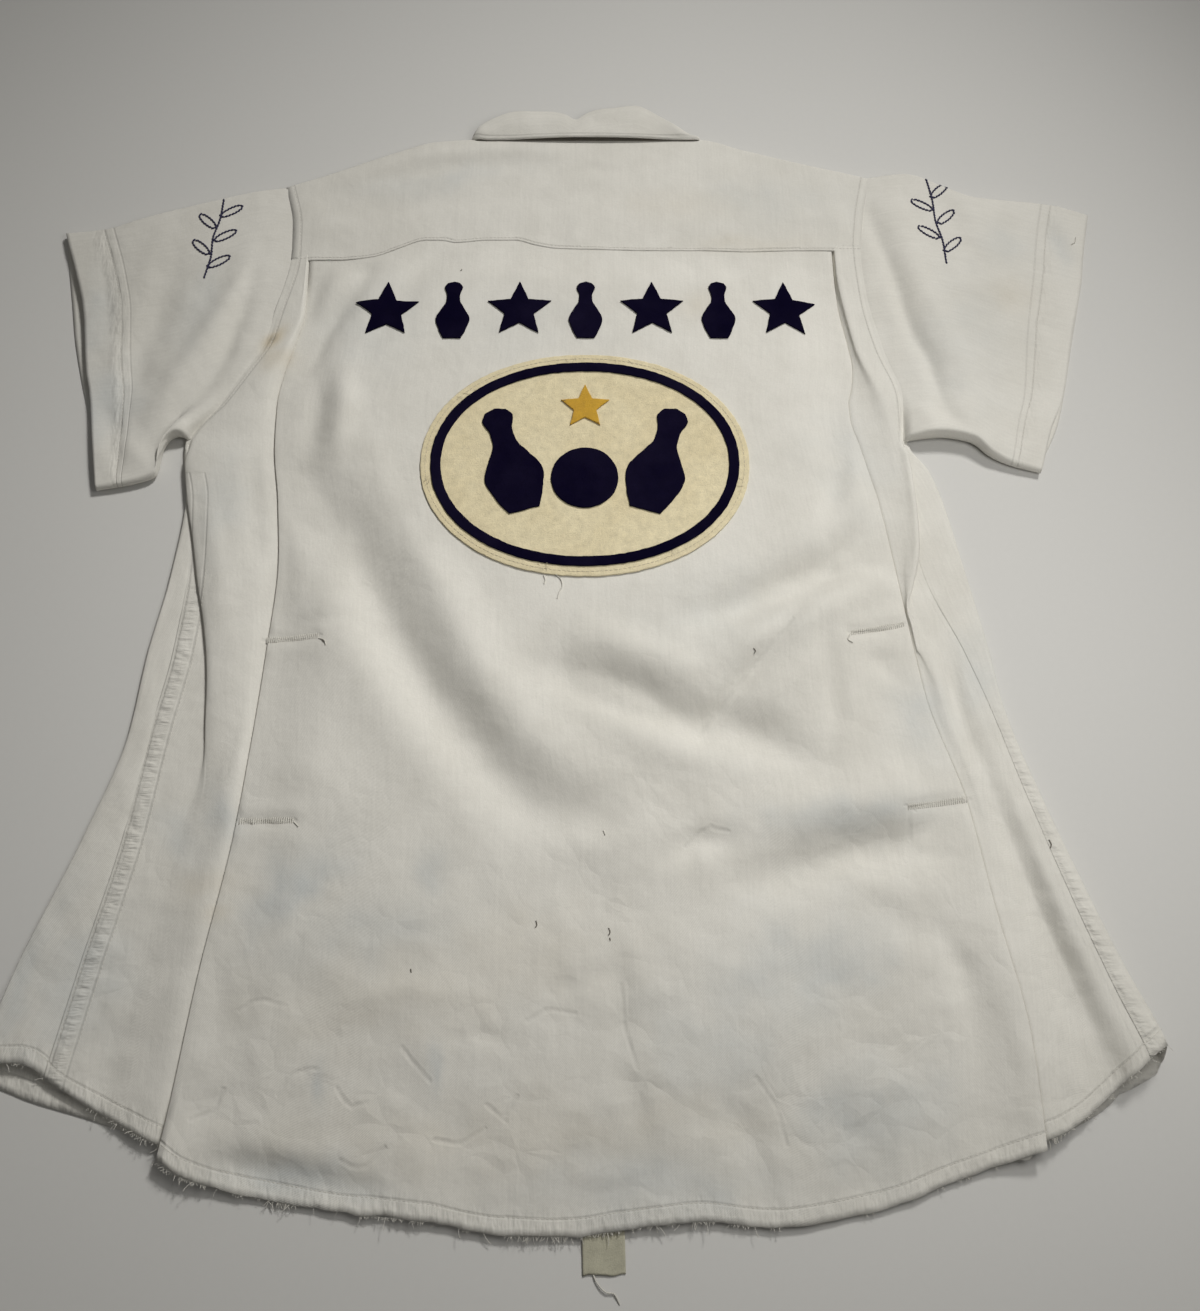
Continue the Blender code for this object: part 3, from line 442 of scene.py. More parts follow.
# Marks on the white cloth: a place, its size along X and Y, its turn in degrees, and its strength.
MARK_COLUMNS = ("x", "y", "half_x", "half_y", "turn", "strength")
BLUE_MARKS = (
    (-182, -196, 34, 14, 42, 0.9),
    (-96, -186, 13, 12, 60, 0.6),
    (-128, -222, 60, 22, 10, 0.5),
    (-225, -150, 16, 10, -50, 0.6),
    (-250, -160, 22, 10, -30, 0.5),
    (-92, -292, 3.5, 12, 0, 0.8),
    (-158, -302, 3, 11, 4, 0.9),
    (120, -236, 44, 26, 20, 0.7),
    (150, -150, 44, 10, 8, 0.6),
    (30, -350, 60, 18, 0, 0.7),
    # The next mark is partly a bluish stain and partly painted shade below the lower left trough.
    (-162, -350, 40, 9, -8, 0.9),
    (150, -320, 40, 26, 10, 0.6),
    (60, -285, 40, 30, 0, 0.45),
    (196, -88, 18, 24, 20, 0.5),
    (236, -60, 12, 26, 0, 0.5),
    (-280, 210, 14, 30, -10, 0.4),
    (-340, 130, 22, 26, 0, 0.7),
    (-350, 200, 10, 30, 5, 0.5),
    (-245, 60, 16, 40, 0, 0.4),
    (-300, -246, 22, 36, -24, 0.6),
    (-330, -236, 12, 50, -20, 0.6),
    (170, 90, 26, 40, 0, 0.35),
    (120, 300, 50, 22, 0, 0.3),
    (-110, 318, 50, 12, 10, 0.45),
    (250, 180, 30, 60, 0, 0.25),
    (290, 262, 18, 16, 0, 0.35),
    (330, 262, 8, 18, 0, 0.5),
    (-60, 190, 60, 26, 0, 0.2),
    (-160, 190, 30, 30, 0, 0.3),
    (70, -20, 40, 30, 0, 0.25),
)
BROWN_MARKS = (
    (-225, 180, 6, 10, -30, 1.4),
    (-222, 166, 12, 8, 0, 0.6),
    (282, 218, 20, 12, 0, 0.25),
    (-232, -190, 20, 9, 0, 0.35),
    (-225, -208, 10, 6, 0, 0.4),
    (-120, -250, 70, 26, 0, 0.25),
    (-60, -230, 60, 30, 0, 0.2),
    (60, 296, 40, 14, 0, 0.2),
    (100, 262, 40, 6, 0, 0.25),
    (-30, -330, 140, 20, 0, 0.25),
    (70, 210, 18, 10, 0, 0.3),
)
# Small dark snags and loose pale threads, as lines on the cloth.
SNAGS = (
    ((-37, -213), (-36.4, -215.4), (-37.4, -217)),
    ((5, -217), (5.8, -219.4), (4.9, -221.2)),
    ((5.6, -222.6), (5.9, -224.2)),
    ((-108, -240), (-107.5, -242)),
    ((95.4, -46.6), (96.8, -48), (95.8, -49.6)),
    ((-98, 237), (-97.2, 238.2)),
    ((265, -166), (266, -169), (265.2, -171)),
    ((-173.6, -40.4), (-172.2, -42)),
)
LOOSE_THREADS = (
    ((-28, 4), (-25, 1), (-24, -3), (-26, -8), (-27, -12)),
    ((-36, 4), (-35, 0.5), (-35.6, -2)),
    ((-176, -39), (-172, -41), (-171, -44)),
    ((-182, -155), (-179, -158)),
    ((157, -36), (155, -40), (158, -42)),
    ((2, -160), (3, -163)),
    ((336, 262), (339, 264), (340, 268)),
)
LABEL_THREAD = ((-4, -397), (-2, -401), (1, -404.5), (4, -406.4), (7, -406.6), (9, -409), (10.5, -412))

PATCH_MIDDLE = (-10, 85)
PATCH_HALF = (108.5, 82)
PATCH_SQUARENESS = 2.08
PATCH_MARGIN = 6.8
RING_WIDTH = 6.5
FELT_ROW = 204
ROW_SPACING = 46
STARS = 4
STAR_RADIUS = 23
STAR_WAIST = 0.46
PIN_HEIGHT = 46
PIN_PROFILE = (
    (0, 0.13),
    (0.15, 0.2),
    (0.34, 0.25),
    (0.52, 0.17),
    (0.66, 0.1),
    (0.76, 0.095),
    (0.9, 0.135),
    (0.97, 0.09),
)
PATCH_PIN = {"height": 78, "lean": 16, "x": 50, "y": 2}
PATCH_BALL = {"radius": 22, "y": -12}
PATCH_STAR = {"radius": 17, "y": 41}

LABEL_X = (-10, 13)
LABEL_ROUTE = ((-362, 1.9), (-374, 1.7), (-384, 1.4), (-391, 1.0), (-398, 0.6))


def place(points):
    """Millimetres in the tables' axes, as metres in the model's frame."""
    points = np.asarray(points, float)
    return (points - np.array([*BOX_MIDDLE, 0])) * MM


def mix(a, b, share):
    return a + (b - a) * share


def ease(value, end=1.0):
    """0 up to 0, 1 from end on, and a smooth step between them."""
    t = np.clip(value / end, 0, 1)
    return t * t * (3 - 2 * t)


def track(at, values):
    """A smooth function through the given points, which never overshoots between them."""
    order = np.argsort(at)
    at, values = np.asarray(at, float)[order], np.asarray(values, float)[order]
    rise = np.diff(values) / np.diff(at)
    slope = np.zeros(len(at))
    slope[0], slope[-1] = rise[0], rise[-1]
    product = rise[:-1] * rise[1:]
    level = np.where(product > 0, rise[:-1] + rise[1:], 1)
    slope[1:-1] = np.where(product > 0, 2 * product / level, 0)

    def value(x):
        x = np.clip(x, at[0], at[-1])
        i = np.clip(np.searchsorted(at, x) - 1, 0, len(rise) - 1)
        width = at[i + 1] - at[i]
        t = (x - at[i]) / width
        start = values[i] * (1 + 2 * t) * (1 - t) ** 2 + slope[i] * width * t * (1 - t) ** 2
        end = values[i + 1] * t * t * (3 - 2 * t) + slope[i + 1] * width * t * t * (t - 1)
        return start + end

    return value


def pairs(table):
    return track([row[0] for row in table], [row[1] for row in table])


def route(points):
    """The X and Y along a line through the points, by the share of its length."""
    points = np.asarray(points, float)
    steps = np.hypot(*np.diff(points, axis=0).T)
    along = np.concatenate([[0], np.cumsum(steps)]) / steps.sum()
    across, up = track(along, points[:, 0]), track(along, points[:, 1])
    return lambda share: np.stack([across(share), up(share)], -1)


def line_distance(x, y, points):
    """How far each place is from a line of points, and the share of the line's length beside it."""
    lengths = [math.dist(a, b) for a, b in zip(points, points[1:])]
    shape = np.broadcast(x, y).shape
    nearest, share, before = np.full(shape, np.inf), np.zeros(shape), 0.0
    for (x0, y0), (x1, y1), length in zip(points, points[1:], lengths):
        t = np.clip(((x - x0) * (x1 - x0) + (y - y0) * (y1 - y0)) / length**2, 0, 1)
        away = np.hypot(x - mix(x0, x1, t), y - mix(y0, y1, t))
        share = np.where(away < nearest, (before + t * length) / sum(lengths), share)
        nearest = np.minimum(away, nearest)
        before += length
    return nearest, share


def creases(x, y, table):
    """How far the soft folds of a table lift the cloth at each place."""
    total = np.zeros(np.broadcast(x, y).shape)
    for points, half_width, height, sharp in table:
        away, share = line_distance(x, y, points)
        fade = np.sqrt(np.clip(np.sin(np.pi * mix(0.04, 0.96, share)), 0, 1))
        away = away / half_width
        soft, crisp = np.exp(-(away**2)), np.exp(-1.6 * np.sqrt(away**2 + 0.01))
        total = total + height * fade * mix(soft, crisp, sharp)
    return total


def smooth_noise(x, y, cell, seed):
    """Noise between about -1 and 1 that changes over a cell of the given size."""
    grid = np.random.default_rng(seed).uniform(-1, 1, (97, 97))
    u, v = x / cell, y / cell
    i, j = np.floor(u).astype(int), np.floor(v).astype(int)
    s, t = ease(u - i), ease(v - j)
    near = mix(grid[i % 97, j % 97], grid[(i + 1) % 97, j % 97], s)
    far = mix(grid[i % 97, (j + 1) % 97], grid[(i + 1) % 97, (j + 1) % 97], s)
    return mix(near, far, t)


def crumple(x, y, seed, amount):
    """Small dents of cloth that has been folded away: soft at large and sharper at small sizes."""
    bent_x = x + 9 * smooth_noise(x, y, 37, seed + 1)
    bent_y = y + 9 * smooth_noise(x, y, 41, seed + 2)
    large = smooth_noise(bent_x, bent_y, 46, seed + 3)
    middle = 1 - 2 * np.abs(smooth_noise(bent_x, bent_y, 27, seed + 4))
    small = 1 - 2 * np.abs(smooth_noise(bent_x, bent_y, 13, seed + 5))
    return amount * (0.5 * large + 0.3 * middle + 0.14 * small)


def spline_columns(keys, steps):
    """Fine columns through key columns of points, with the given number of steps from each to the next."""
    keys = np.asarray(keys, float)
    gap = np.sqrt(np.maximum(np.linalg.norm(np.diff(keys, axis=0), axis=2), 0.02))[..., None]
    chord = np.diff(keys, axis=0) / gap
    slope = np.empty_like(keys)
    slope[0], slope[-1] = chord[0], chord[-1]
    slope[1:-1] = (chord[:-1] * gap[1:] + chord[1:] * gap[:-1]) / (gap[:-1] + gap[1:])
    columns = []
    for k, count in enumerate(steps):
        for t in np.arange(count) / count:
            start = keys[k] * (1 + 2 * t) * (1 - t) ** 2 + slope[k] * gap[k] * t * (1 - t) ** 2
            end = keys[k + 1] * t * t * (3 - 2 * t) + slope[k + 1] * gap[k] * t * t * (t - 1)
            columns.append(start + end)
    columns.append(keys[-1])
    return np.array(columns)


class Side:
    """One side of the body: its lines as functions of Y. inward is the sign of X towards the middle."""

    def __init__(self, table, lip, ridge, roll, hem, front_hem, hem_lift, inward, name):
        y = [row[0] for row in table]
        self.edge, self.outline, self.pleat, self.puff = (track(y, [row[i] for row in table]) for i in (1, 2, 3, 4))
        y = [row[0] for row in lip]
        self.lip, self.folded = (track(y, [row[i] for row in lip]) for i in (1, 2))
        self.hem, self.front_hem, self.hem_lift = pairs(hem), pairs(front_hem), pairs(hem_lift)
        self.ridge, self.roll = pairs(ridge), pairs(roll)
        self.inward = inward
        self.name = name

    def raised(self, x, y):
        """How far the lifted hem and the rolled side seam bring up the cloth near them."""
        inside = self.inward * (x - self.edge(y))
        rolled = self.roll(y) * (1 - mix(ease(inside - 5, ROLL_SLOPE), ease(inside - ROLL_TOP, ROLL_WALL), 0.72))
        return self.hem_lift(x) * (1 - ease(y - self.hem(x), 75)) ** 2 + rolled

    def edge_layer(self, y):
        """The height of the side seam and the armhole."""
        return mix(SEAM_LAYER, ARMHOLE_LAYER, ease(y - ARMPIT, 45))


LEFT = Side(LEFT_SIDE, LEFT_LIP, LEFT_RIDGE, LEFT_ROLL, LEFT_FLANK_HEM, LEFT_FRONT_HEM, LEFT_HEM_LIFT, 1, "left")
RIGHT = Side(RIGHT_SIDE, RIGHT_LIP, RIGHT_RIDGE, RIGHT_ROLL, RIGHT_FLANK_HEM, RIGHT_FRONT_HEM, RIGHT_HEM_LIFT, -1, "right")
yoke_seam = pairs(YOKE_SEAM)
shoulder_fold = pairs(SHOULDER_FOLD)
back_hem = pairs(BACK_HEM)

ROWS_ABOVE = 46
ROWS_BELOW = 130
CENTRE_COLUMNS = 116
HEM_ROWS = 5
SEAM_LAP = 5


def rows_between(top, hem, above=ROWS_ABOVE, below=ROWS_BELOW):
    """Y from a piece's top to its hem, with a row at the armpit and close rows at the turned hem."""
    lower = np.linspace(ARMPIT, hem, below)[1:]
    return np.concatenate([np.linspace(top, ARMPIT, above), lower])


def flat_zone(x, y):
    """1 where felt lies on the back, 0 well clear of it."""
    reach = np.hypot((x - PATCH_MIDDLE[0]) / PATCH_HALF[0], (y - PATCH_MIDDLE[1]) / PATCH_HALF[1])
    row_end = np.maximum(np.abs(x - PATCH_MIDDLE[0]) - 3.6 * ROW_SPACING, 0)
    row_side = np.maximum(np.abs(y - FELT_ROW) - STAR_RADIUS, 0)
    return np.maximum(1 - ease(reach - 1.08, 0.3), 0.85 * (1 - ease(np.hypot(row_end, row_side) - 2, 20)))


def tack_dents(x, y):
    """The cloth drawn down along the short seams, with a soft lift above them."""
    total = np.zeros(np.broadcast(x, y).shape)
    for ends in TACKS:
        away, _ = line_distance(x, y, ends)
        lifted, _ = line_distance(x, y - 7, ends)
        fanned, _ = line_distance(x, y + 9, ends)
        total = total - 2.4 * np.exp(-((away / 2.0) ** 2)) + 1.6 * np.exp(-((lifted / 5) ** 2))
        total = total + 1.0 * np.exp(-((fanned / 6) ** 2))
    return total


def line_sides(x, y, lines):
    """How far each place is to the left of the nearest of the lines, and how far it is from that line at all."""
    nearest = np.full(np.broadcast(x, y).shape, FAR)
    left_of = nearest.copy()
    for line in lines:
        for (x0, y0), (x1, y1) in zip(line, line[1:]):
            away, _ = line_distance(x, y, ((x0, y0), (x1, y1)))
            left = ((x1 - x0) * (y - y0) - (y1 - y0) * (x - x0)) / math.dist((x0, y0), (x1, y1))
            left_of, nearest = np.where(away < nearest, left, left_of), np.minimum(away, nearest)
    return left_of, nearest


def centre_height(x, y):
    """The middle of the back's wall between its pleats."""
    left, right = LEFT.pleat(y), RIGHT.pleat(y)
    from_pleat = np.minimum(x - left, right - x)
    across = np.clip((x - left) / (right - left), 0, 1)
    from_hem = y - back_hem(across)
    level = mix(HEM_LAYER + hem_wave(x), CHEST_LAYER, ease(from_hem, 150))
    level = mix(YOKE_LAYER - 0.45, level, ease(yoke_seam(x) - y, 34))
    level = mix(mix(CENTRE_LAYER, YOKE_LAYER - 0.5, ease(y - 215, 40)), level, ease(from_pleat, 46))
    free = 1 - 0.5 * flat_zone(x, y)
    lift = FOLD_DEPTH * creases(x, y, BACK_CREASES) + crumple(x, y, 5, mix(1.3, 0.5, ease(y + 230, 160)))
    lift = lift * free * ease(from_pleat, 16) * mix(0.6, 1, ease(from_hem, 16)) * ease(yoke_seam(x) - y - 1, 12)
    under = mix(CENTRE_LAYER - 0.1, front_top(x, y), ease(from_pleat - PLEAT_DEPTH - 2, 8))
    level = np.maximum(level + lift, under)
    corner = np.hypot(np.minimum(x - left, 200) * 0.7, from_hem)
    level = level + 2.6 * (1 - ease(corner, 46))
    return level + 0.5 * tack_dents(x, y) * ease(from_pleat + 2, 6) + hem_relief(x, from_hem)


FOLD_DEPTH = 1.55


def front_top(x, y):
    """The highest point of the fronts and the buttons below the back."""
    lift = 3.7 * (1 - ease(np.abs(x - middle(y)) - PLACKET, PLACKET_SLOPE - PLACKET))
    return 1.3 + lift * ease(y + 362, 12)


def ragged(share):
    """How far the worn hem is eaten away, mostly in its left half."""
    place_x = np.array([share * 470.0])
    eaten = 0.6 * smooth_noise(place_x, 0 * place_x, 3.7, 35) + 0.5 * smooth_noise(place_x, 0 * place_x, 9, 36)
    return float(mix(1.0, 0.5, ease(share - 0.45, 0.3)) * (eaten[0] + 0.6) * ease(share, 0.01) * ease(1 - share, 0.01))


def hem_wave(x):
    """How the back's hem rises and falls along its length."""
    return 1.3 * smooth_noise(x, 0 * x, 44, 33) + 0.5 * smooth_noise(x, 0 * x, 17, 34)


def hem_relief(x, from_hem):
    """A turned hem: it stands up a little from its stitches to its edge."""
    band = HEM_BAND + 1.0 * smooth_noise(x, 0 * x, 60, 31)
    return 0.3 * ease(band - from_hem, 2.5)


HEM_BAND = 9.5
FOLDED_REACH = (-1.5, 0.6, -1.5)
FOLDED_LAYOUT = {
    "left": ((2.0, 1.2), (0, 2.4), (1.9, 3.7), (7, 4.5)),
    "right": ((2.0, 1.3), (0, 3.0), (1.7, 5.2), (6.5, 3.2)),
}
OPEN_REACH = (-8, -6, -4, -2, 1, 4.5, 10)
OPEN_RISE = (0.08, 0.16, 0.3, 0.45, 0.65, 0.82, 1)
LIP_DEPTH = 6
SIDE_STEPS = (4, 4, 5, 4, 4, 5, 9)
# How the side panel goes down under the pleat: the share of the way there, the share of the drop, and its bulge.
FLANK_DROPS = {
    "left": ((0.35, 0.12, 0.35), (0.7, 0.36, 0.25), (0.88, 0.66, 0)),
    "right": ((0.35, 0.5, 0), (0.7, 0.8, 0), (1.0, 1.0, 0)),
}
# How far from the pleat's edge the panel goes under it, and its height there.
FLANK_END = {"left": (0, SIDE_LAYER), "right": (0.9, FOLD_LAYER + 0.4)}
SEAM_OVERLAP = 1.2
SEAM_STRIP = 9.4


def side_panel(side, top_at):
    """Key columns of the back from its side seam, over the fold that laps it, to the pleat."""
    s = side.inward
    over = side is LEFT
    layout = FOLDED_LAYOUT[side.name]
    keys, steps = [], []

    def add(x_at, z_at, count):
        """A column from the yoke to the hem, whose X and Z are functions of Y."""
        end = -310.0
        for _ in range(4):
            end = float(side.hem(x_at(np.array([end]))[0]))
        y = rows_between(top_at(float(x_at(np.array([float(YOKE_LEVEL)]))[0])), end)
        x = x_at(y)
        keys.append(np.stack([x, y, z_at(y)], -1))
        steps.append(count)

    def room(y):
        """1 where there is space for the whole fold between the lip and the pleat."""
        return ease(s * (side.pleat(y) - side.lip(y)), 16)

    def overlap(y):
        """How far the panel passes its seam: over the sleeve and the left front, and under the right one."""
        above = ease(y - ARMPIT, 6)
        return SEAM_OVERLAP * (1 if over else above) + (0 if over else 1.5 * (1 - above))

    def edge_drop(y):
        return 0 if over else mix(0.7, 0.3, ease(30 - y, 130)) * (1 - ease(y - ARMPIT, 6))

    add(lambda y: side.edge(y) - s * overlap(y), lambda y: side.edge_layer(y) - edge_drop(y) - 0.1, 2)
    add(lambda y: side.edge(y) + s * (1.4 - overlap(y)), lambda y: side.edge_layer(y) - edge_drop(y) + 0.05, 9)
    for k, count in enumerate(SIDE_STEPS):

        def x_at(y, k=k):
            if k < 3:
                folded = side.lip(y) + s * (LIP_DEPTH * room(y) + FOLDED_REACH[k])
            else:
                folded = side.lip(y) + s * layout[k - 3][0] * room(y)
            opened = s * np.maximum(s * (side.lip(y) + s * OPEN_REACH[k]), s * side.edge(y) + 2 + 0.5 * k)
            opened = s * np.minimum(s * opened, s * side.pleat(y) - 5 + 0.5 * k)
            return mix(opened, folded, side.folded(y))

        def z_at(y, k=k):
            low = side.edge_layer(y)
            if k < 3:
                folded = low + 0.1 + 0.35 * k
            else:
                folded = low + mix(1.0 + 0.2 * k, layout[k - 3][1], room(y))
            return mix(low + side.puff(y) * OPEN_RISE[k], folded, side.folded(y))

        add(x_at, z_at, count)
    last_x, last_z = x_at, z_at
    gap, end_z = FLANK_END[side.name]
    for share, drop, bulge in FLANK_DROPS[side.name]:
        add(
            lambda y, share=share: mix(last_x(y), side.pleat(y) - s * gap, share),
            lambda y, drop=drop, bulge=bulge: mix(last_z(y), end_z, drop) + bulge * side.puff(y) * 0.4,
            6 if share < 1 else 2,
        )
    add(side.pleat, lambda y: SIDE_LAYER + 0 * y, 0)
    columns = spline_columns(keys, steps[:-1])
    x, y = columns[..., 0], columns[..., 1]
    from_edge, from_pleat = s * (x - side.edge(y)), s * (side.pleat(y) - x)
    top_side = np.clip(np.arange(len(columns)) / 28, 0, 1)[:, None] ** 6
    free = ease(from_pleat, 12) * ease(from_edge - 3, 12) * np.maximum(top_side, 1 - side.folded(y))
    lift = creases(x, y, SIDE_CREASES) + crumple(x, y, 60 + (s > 0), mix(1.3, 0.5, ease(y + 260, 160)))
    columns[..., 2] = np.maximum(columns[..., 2] + lift * free, SIDE_LAYER - 0.1)
    columns[..., 2] += hem_relief(x, y - side.hem(x)) * ease(from_pleat, 10) * 0.8
    columns[..., 2] += side.raised(x, y) * ease(from_pleat, 8)
    if side is LEFT:
        columns[..., 2] += felled_seam(from_edge, y) * ease(16 - y, 50)
    return columns


def felled_seam(from_edge, y, width=11.5):
    """A strip of doubled cloth between two rows of stitches, drawn up into short ribs."""
    inside = ease(from_edge, 2.0) * ease(width - from_edge, 2.0)
    wander = 2.4 * smooth_noise(y, from_edge * 0.3, 19, 72) + 1.6 * smooth_noise(y, 0 * y, 61, 74)
    ribs = np.sin(2 * np.pi * (y + wander) / 9.4 + 0.1 * from_edge)
    return inside * (0.6 + 0.25 * ribs)


def pleat_columns(side, top_at):
    """Columns of the hidden part of a pleat, from the end of the side panel to the centre panel."""
    s = side.inward
    pleat = side.pleat(YOKE_LEVEL)
    y = rows_between(top_at(pleat + s * PLEAT_DEPTH), HIDDEN_HEM)
    hidden = side.pleat(y) + s * PLEAT_DEPTH
    columns = []
    for share in (0.3, 0.6, 0.9):
        columns.append(np.stack([mix(side.pleat(y), hidden, share), y, SIDE_LAYER + 0 * y], -1))
    radius = (FOLD_LAYER - SIDE_LAYER) / 2
    for angle in np.linspace(0, np.pi, 6):
        x = hidden - s * radius * (1 - math.sin(angle))
        columns.append(np.stack([x, y, 0 * y + SIDE_LAYER + radius * (1 - math.cos(angle))], -1))
    hem = back_hem(0 if side is LEFT else 1)
    y = rows_between(top_at(pleat), hem)
    for share in (0.6, 0.3):
        x = mix(side.pleat(y), side.pleat(y) + s * PLEAT_DEPTH, share)
        columns.append(np.stack([x, y, FOLD_LAYER + 0 * y], -1))
    for angle in np.linspace(0, np.pi, 7)[:-1]:
        x = side.pleat(y) + s * PLEAT_RADIUS * (1 - math.sin(angle))
        columns.append(np.stack([x, y, 0 * y + FOLD_LAYER + PLEAT_RADIUS * (1 - math.cos(angle))], -1))
    return columns


def pleat_ridges(x, y):
    return sum(side.ridge(y) * np.exp(-(((x - side.pleat(y)) / RIDGE_WIDTH) ** 2)) for side in (LEFT, RIGHT))


def back_sheet():
    """Points of the whole back, by row and column, from one side seam to the other, and their edge distances."""

    def top_at(x):
        return yoke_seam(x) + SEAM_LAP

    columns, distances = [], []
    for side in (LEFT, RIGHT):
        flank, pleat = side_panel(side, top_at), pleat_columns(side, top_at)
        x, y = flank[..., 0], flank[..., 1]
        from_edge = side.inward * (x - side.edge(y))
        felled = np.where((y < 80) & (side is LEFT), from_edge, FAR)
        line = from_edge - ARMHOLE_STITCHES
        line = np.where(y > ARMPIT, line, np.copysign(FAR, line))
        near = [*np.stack([y - side.hem(x), felled, line], -1)]
        share = 0.0 if side is LEFT else 1.0
        for column in pleat:
            hem = column[:, 1] - back_hem(share)
            near.append(np.stack([hem, 0 * hem + FAR, 0 * hem + FAR], -1))
        columns.append([*flank, *pleat])
        distances.append(near)
    centre, near = [], []
    for share in np.linspace(0, 1, CENTRE_COLUMNS):
        x = mix(LEFT.pleat(YOKE_LEVEL), RIGHT.pleat(YOKE_LEVEL), share)
        y = rows_between(top_at(x), back_hem(share) + ragged(share))
        x = mix(LEFT.pleat(y) + PLEAT_RADIUS, RIGHT.pleat(y) - PLEAT_RADIUS, share)
        centre.append(np.stack([x, y, centre_height(x, y)], -1))
        near.append(np.stack([y - back_hem(share) - 0 * x, 0 * y + FAR, 0 * y + FAR], -1))
    grid = np.array([*columns[0], *centre, *reversed(columns[1])]).transpose(1, 0, 2)
    x, y = grid[..., 0], grid[..., 1]
    grid[..., 2] += pleat_ridges(x, y)
    return grid, np.array([*distances[0], *near, *reversed(distances[1])]).transpose(1, 0, 2)


ARMHOLE_STITCHES = 5


def yoke_height(x, y):
    to_edge = np.minimum(x - LEFT.edge(y), RIGHT.edge(y) - x)
    from_seam = y - yoke_seam(x)
    level = mix(ARMHOLE_LAYER - 0.1, YOKE_LAYER, ease(to_edge, 20)) - 0.2 * (1 - ease(from_seam, 1.2))
    level = level + 1.6 * ease(from_seam, 30) * ease(shoulder_fold(x) - y, 40) * mix(0.3, 1, ease(to_edge, 18))
    free = ease(from_seam, 10) * ease(shoulder_fold(x) - y, 14) * ease(to_edge, 12)
    pucker = 0.3 * smooth_noise(x, y * 0.3, 7, 81) * ease(12 - from_seam, 10)
    return level + (creases(x, y, YOKE_CREASES) + crumple(x, y, 90, 0.5)) * free + pucker * ease(from_seam, 2)


YOKE_COLUMNS = (26, 52, 30)


def yoke_sheet():
    """Rows of the yoke from its seam over the shoulders' fold to its seam on the fronts."""
    left, right = LEFT.edge(YOKE_LEVEL), RIGHT.edge(YOKE_LEVEL)
    pleats = LEFT.pleat(YOKE_LEVEL), RIGHT.pleat(YOKE_LEVEL)
    corners = [(mix(*pleats, share) - left) / (right - left) for share in NECK]
    a, b, c = YOKE_COLUMNS
    shares = np.concatenate(
        [np.linspace(0, corners[0], a), np.linspace(*corners, b)[1:], np.linspace(corners[1], 1, c)[1:]]
    )
    seam = yoke_seam(mix(left, right, shares))
    fold = shoulder_fold(mix(LEFT.edge(SHOULDER_LEVEL), RIGHT.edge(SHOULDER_LEVEL), shares))

    def row(y, z=None):
        x = mix(LEFT.edge(y) - SEAM_OVERLAP, RIGHT.edge(y) + SEAM_OVERLAP, shares)
        return x, y, yoke_height(x, y) if z is None else z

    top_z = yoke_height(mix(LEFT.edge(fold), RIGHT.edge(fold), shares), fold)
    radius = (top_z - FLOOR_LAYER) / 2
    rows = [row(seam + 1.6, 0 * seam + YOKE_LAYER - 0.7)]
    rows += [row(seam + step, None) for step in (0, 1, 2.4)]
    rows += [row(mix(seam + 4, fold - radius, share)) for share in np.linspace(0, 1, 30)]
    for angle in np.linspace(0, np.pi, 12)[1:]:
        rows.append(row(fold + radius * (np.sin(angle) - 1), mix(FLOOR_LAYER, top_z, (1 + np.cos(angle)) / 2)))
    for share in np.linspace(0, 1, 12)[1:]:
        rows.append(row(mix(fold - radius, fold - FRONT_YOKE, share), FLOOR_LAYER + 0 * fold))
    grid = np.array(rows).transpose(0, 2, 1)
    x, y = grid[..., 0], grid[..., 1]
    to_edge = np.minimum(x - LEFT.edge(y), RIGHT.edge(y) - x)
    shown = np.arange(len(grid))[:, None] < 30
    stitched = np.where((y - yoke_seam(x) < 4) & shown, y - yoke_seam(x) - 2.2, to_edge - ARMHOLE_STITCHES)
    near = np.stack([0 * x + FAR, 0 * x + FAR, stitched], -1)
    return grid, near, (a - 1, a + b - 2), 4 + 30


def middle(y):
    return mix(MIDDLE_HEM, MIDDLE_TOP, (y + 350) / 700)


def placket_lift(x, y, outer):
    """The outer front clears its buttons, and the inner one lies on it."""
    height = BUTTON_ROOM + (0 if outer else 1.5)
    return height * (1 - ease(np.abs(x - middle(y)) - PLACKET, PLACKET_SLOPE - PLACKET))


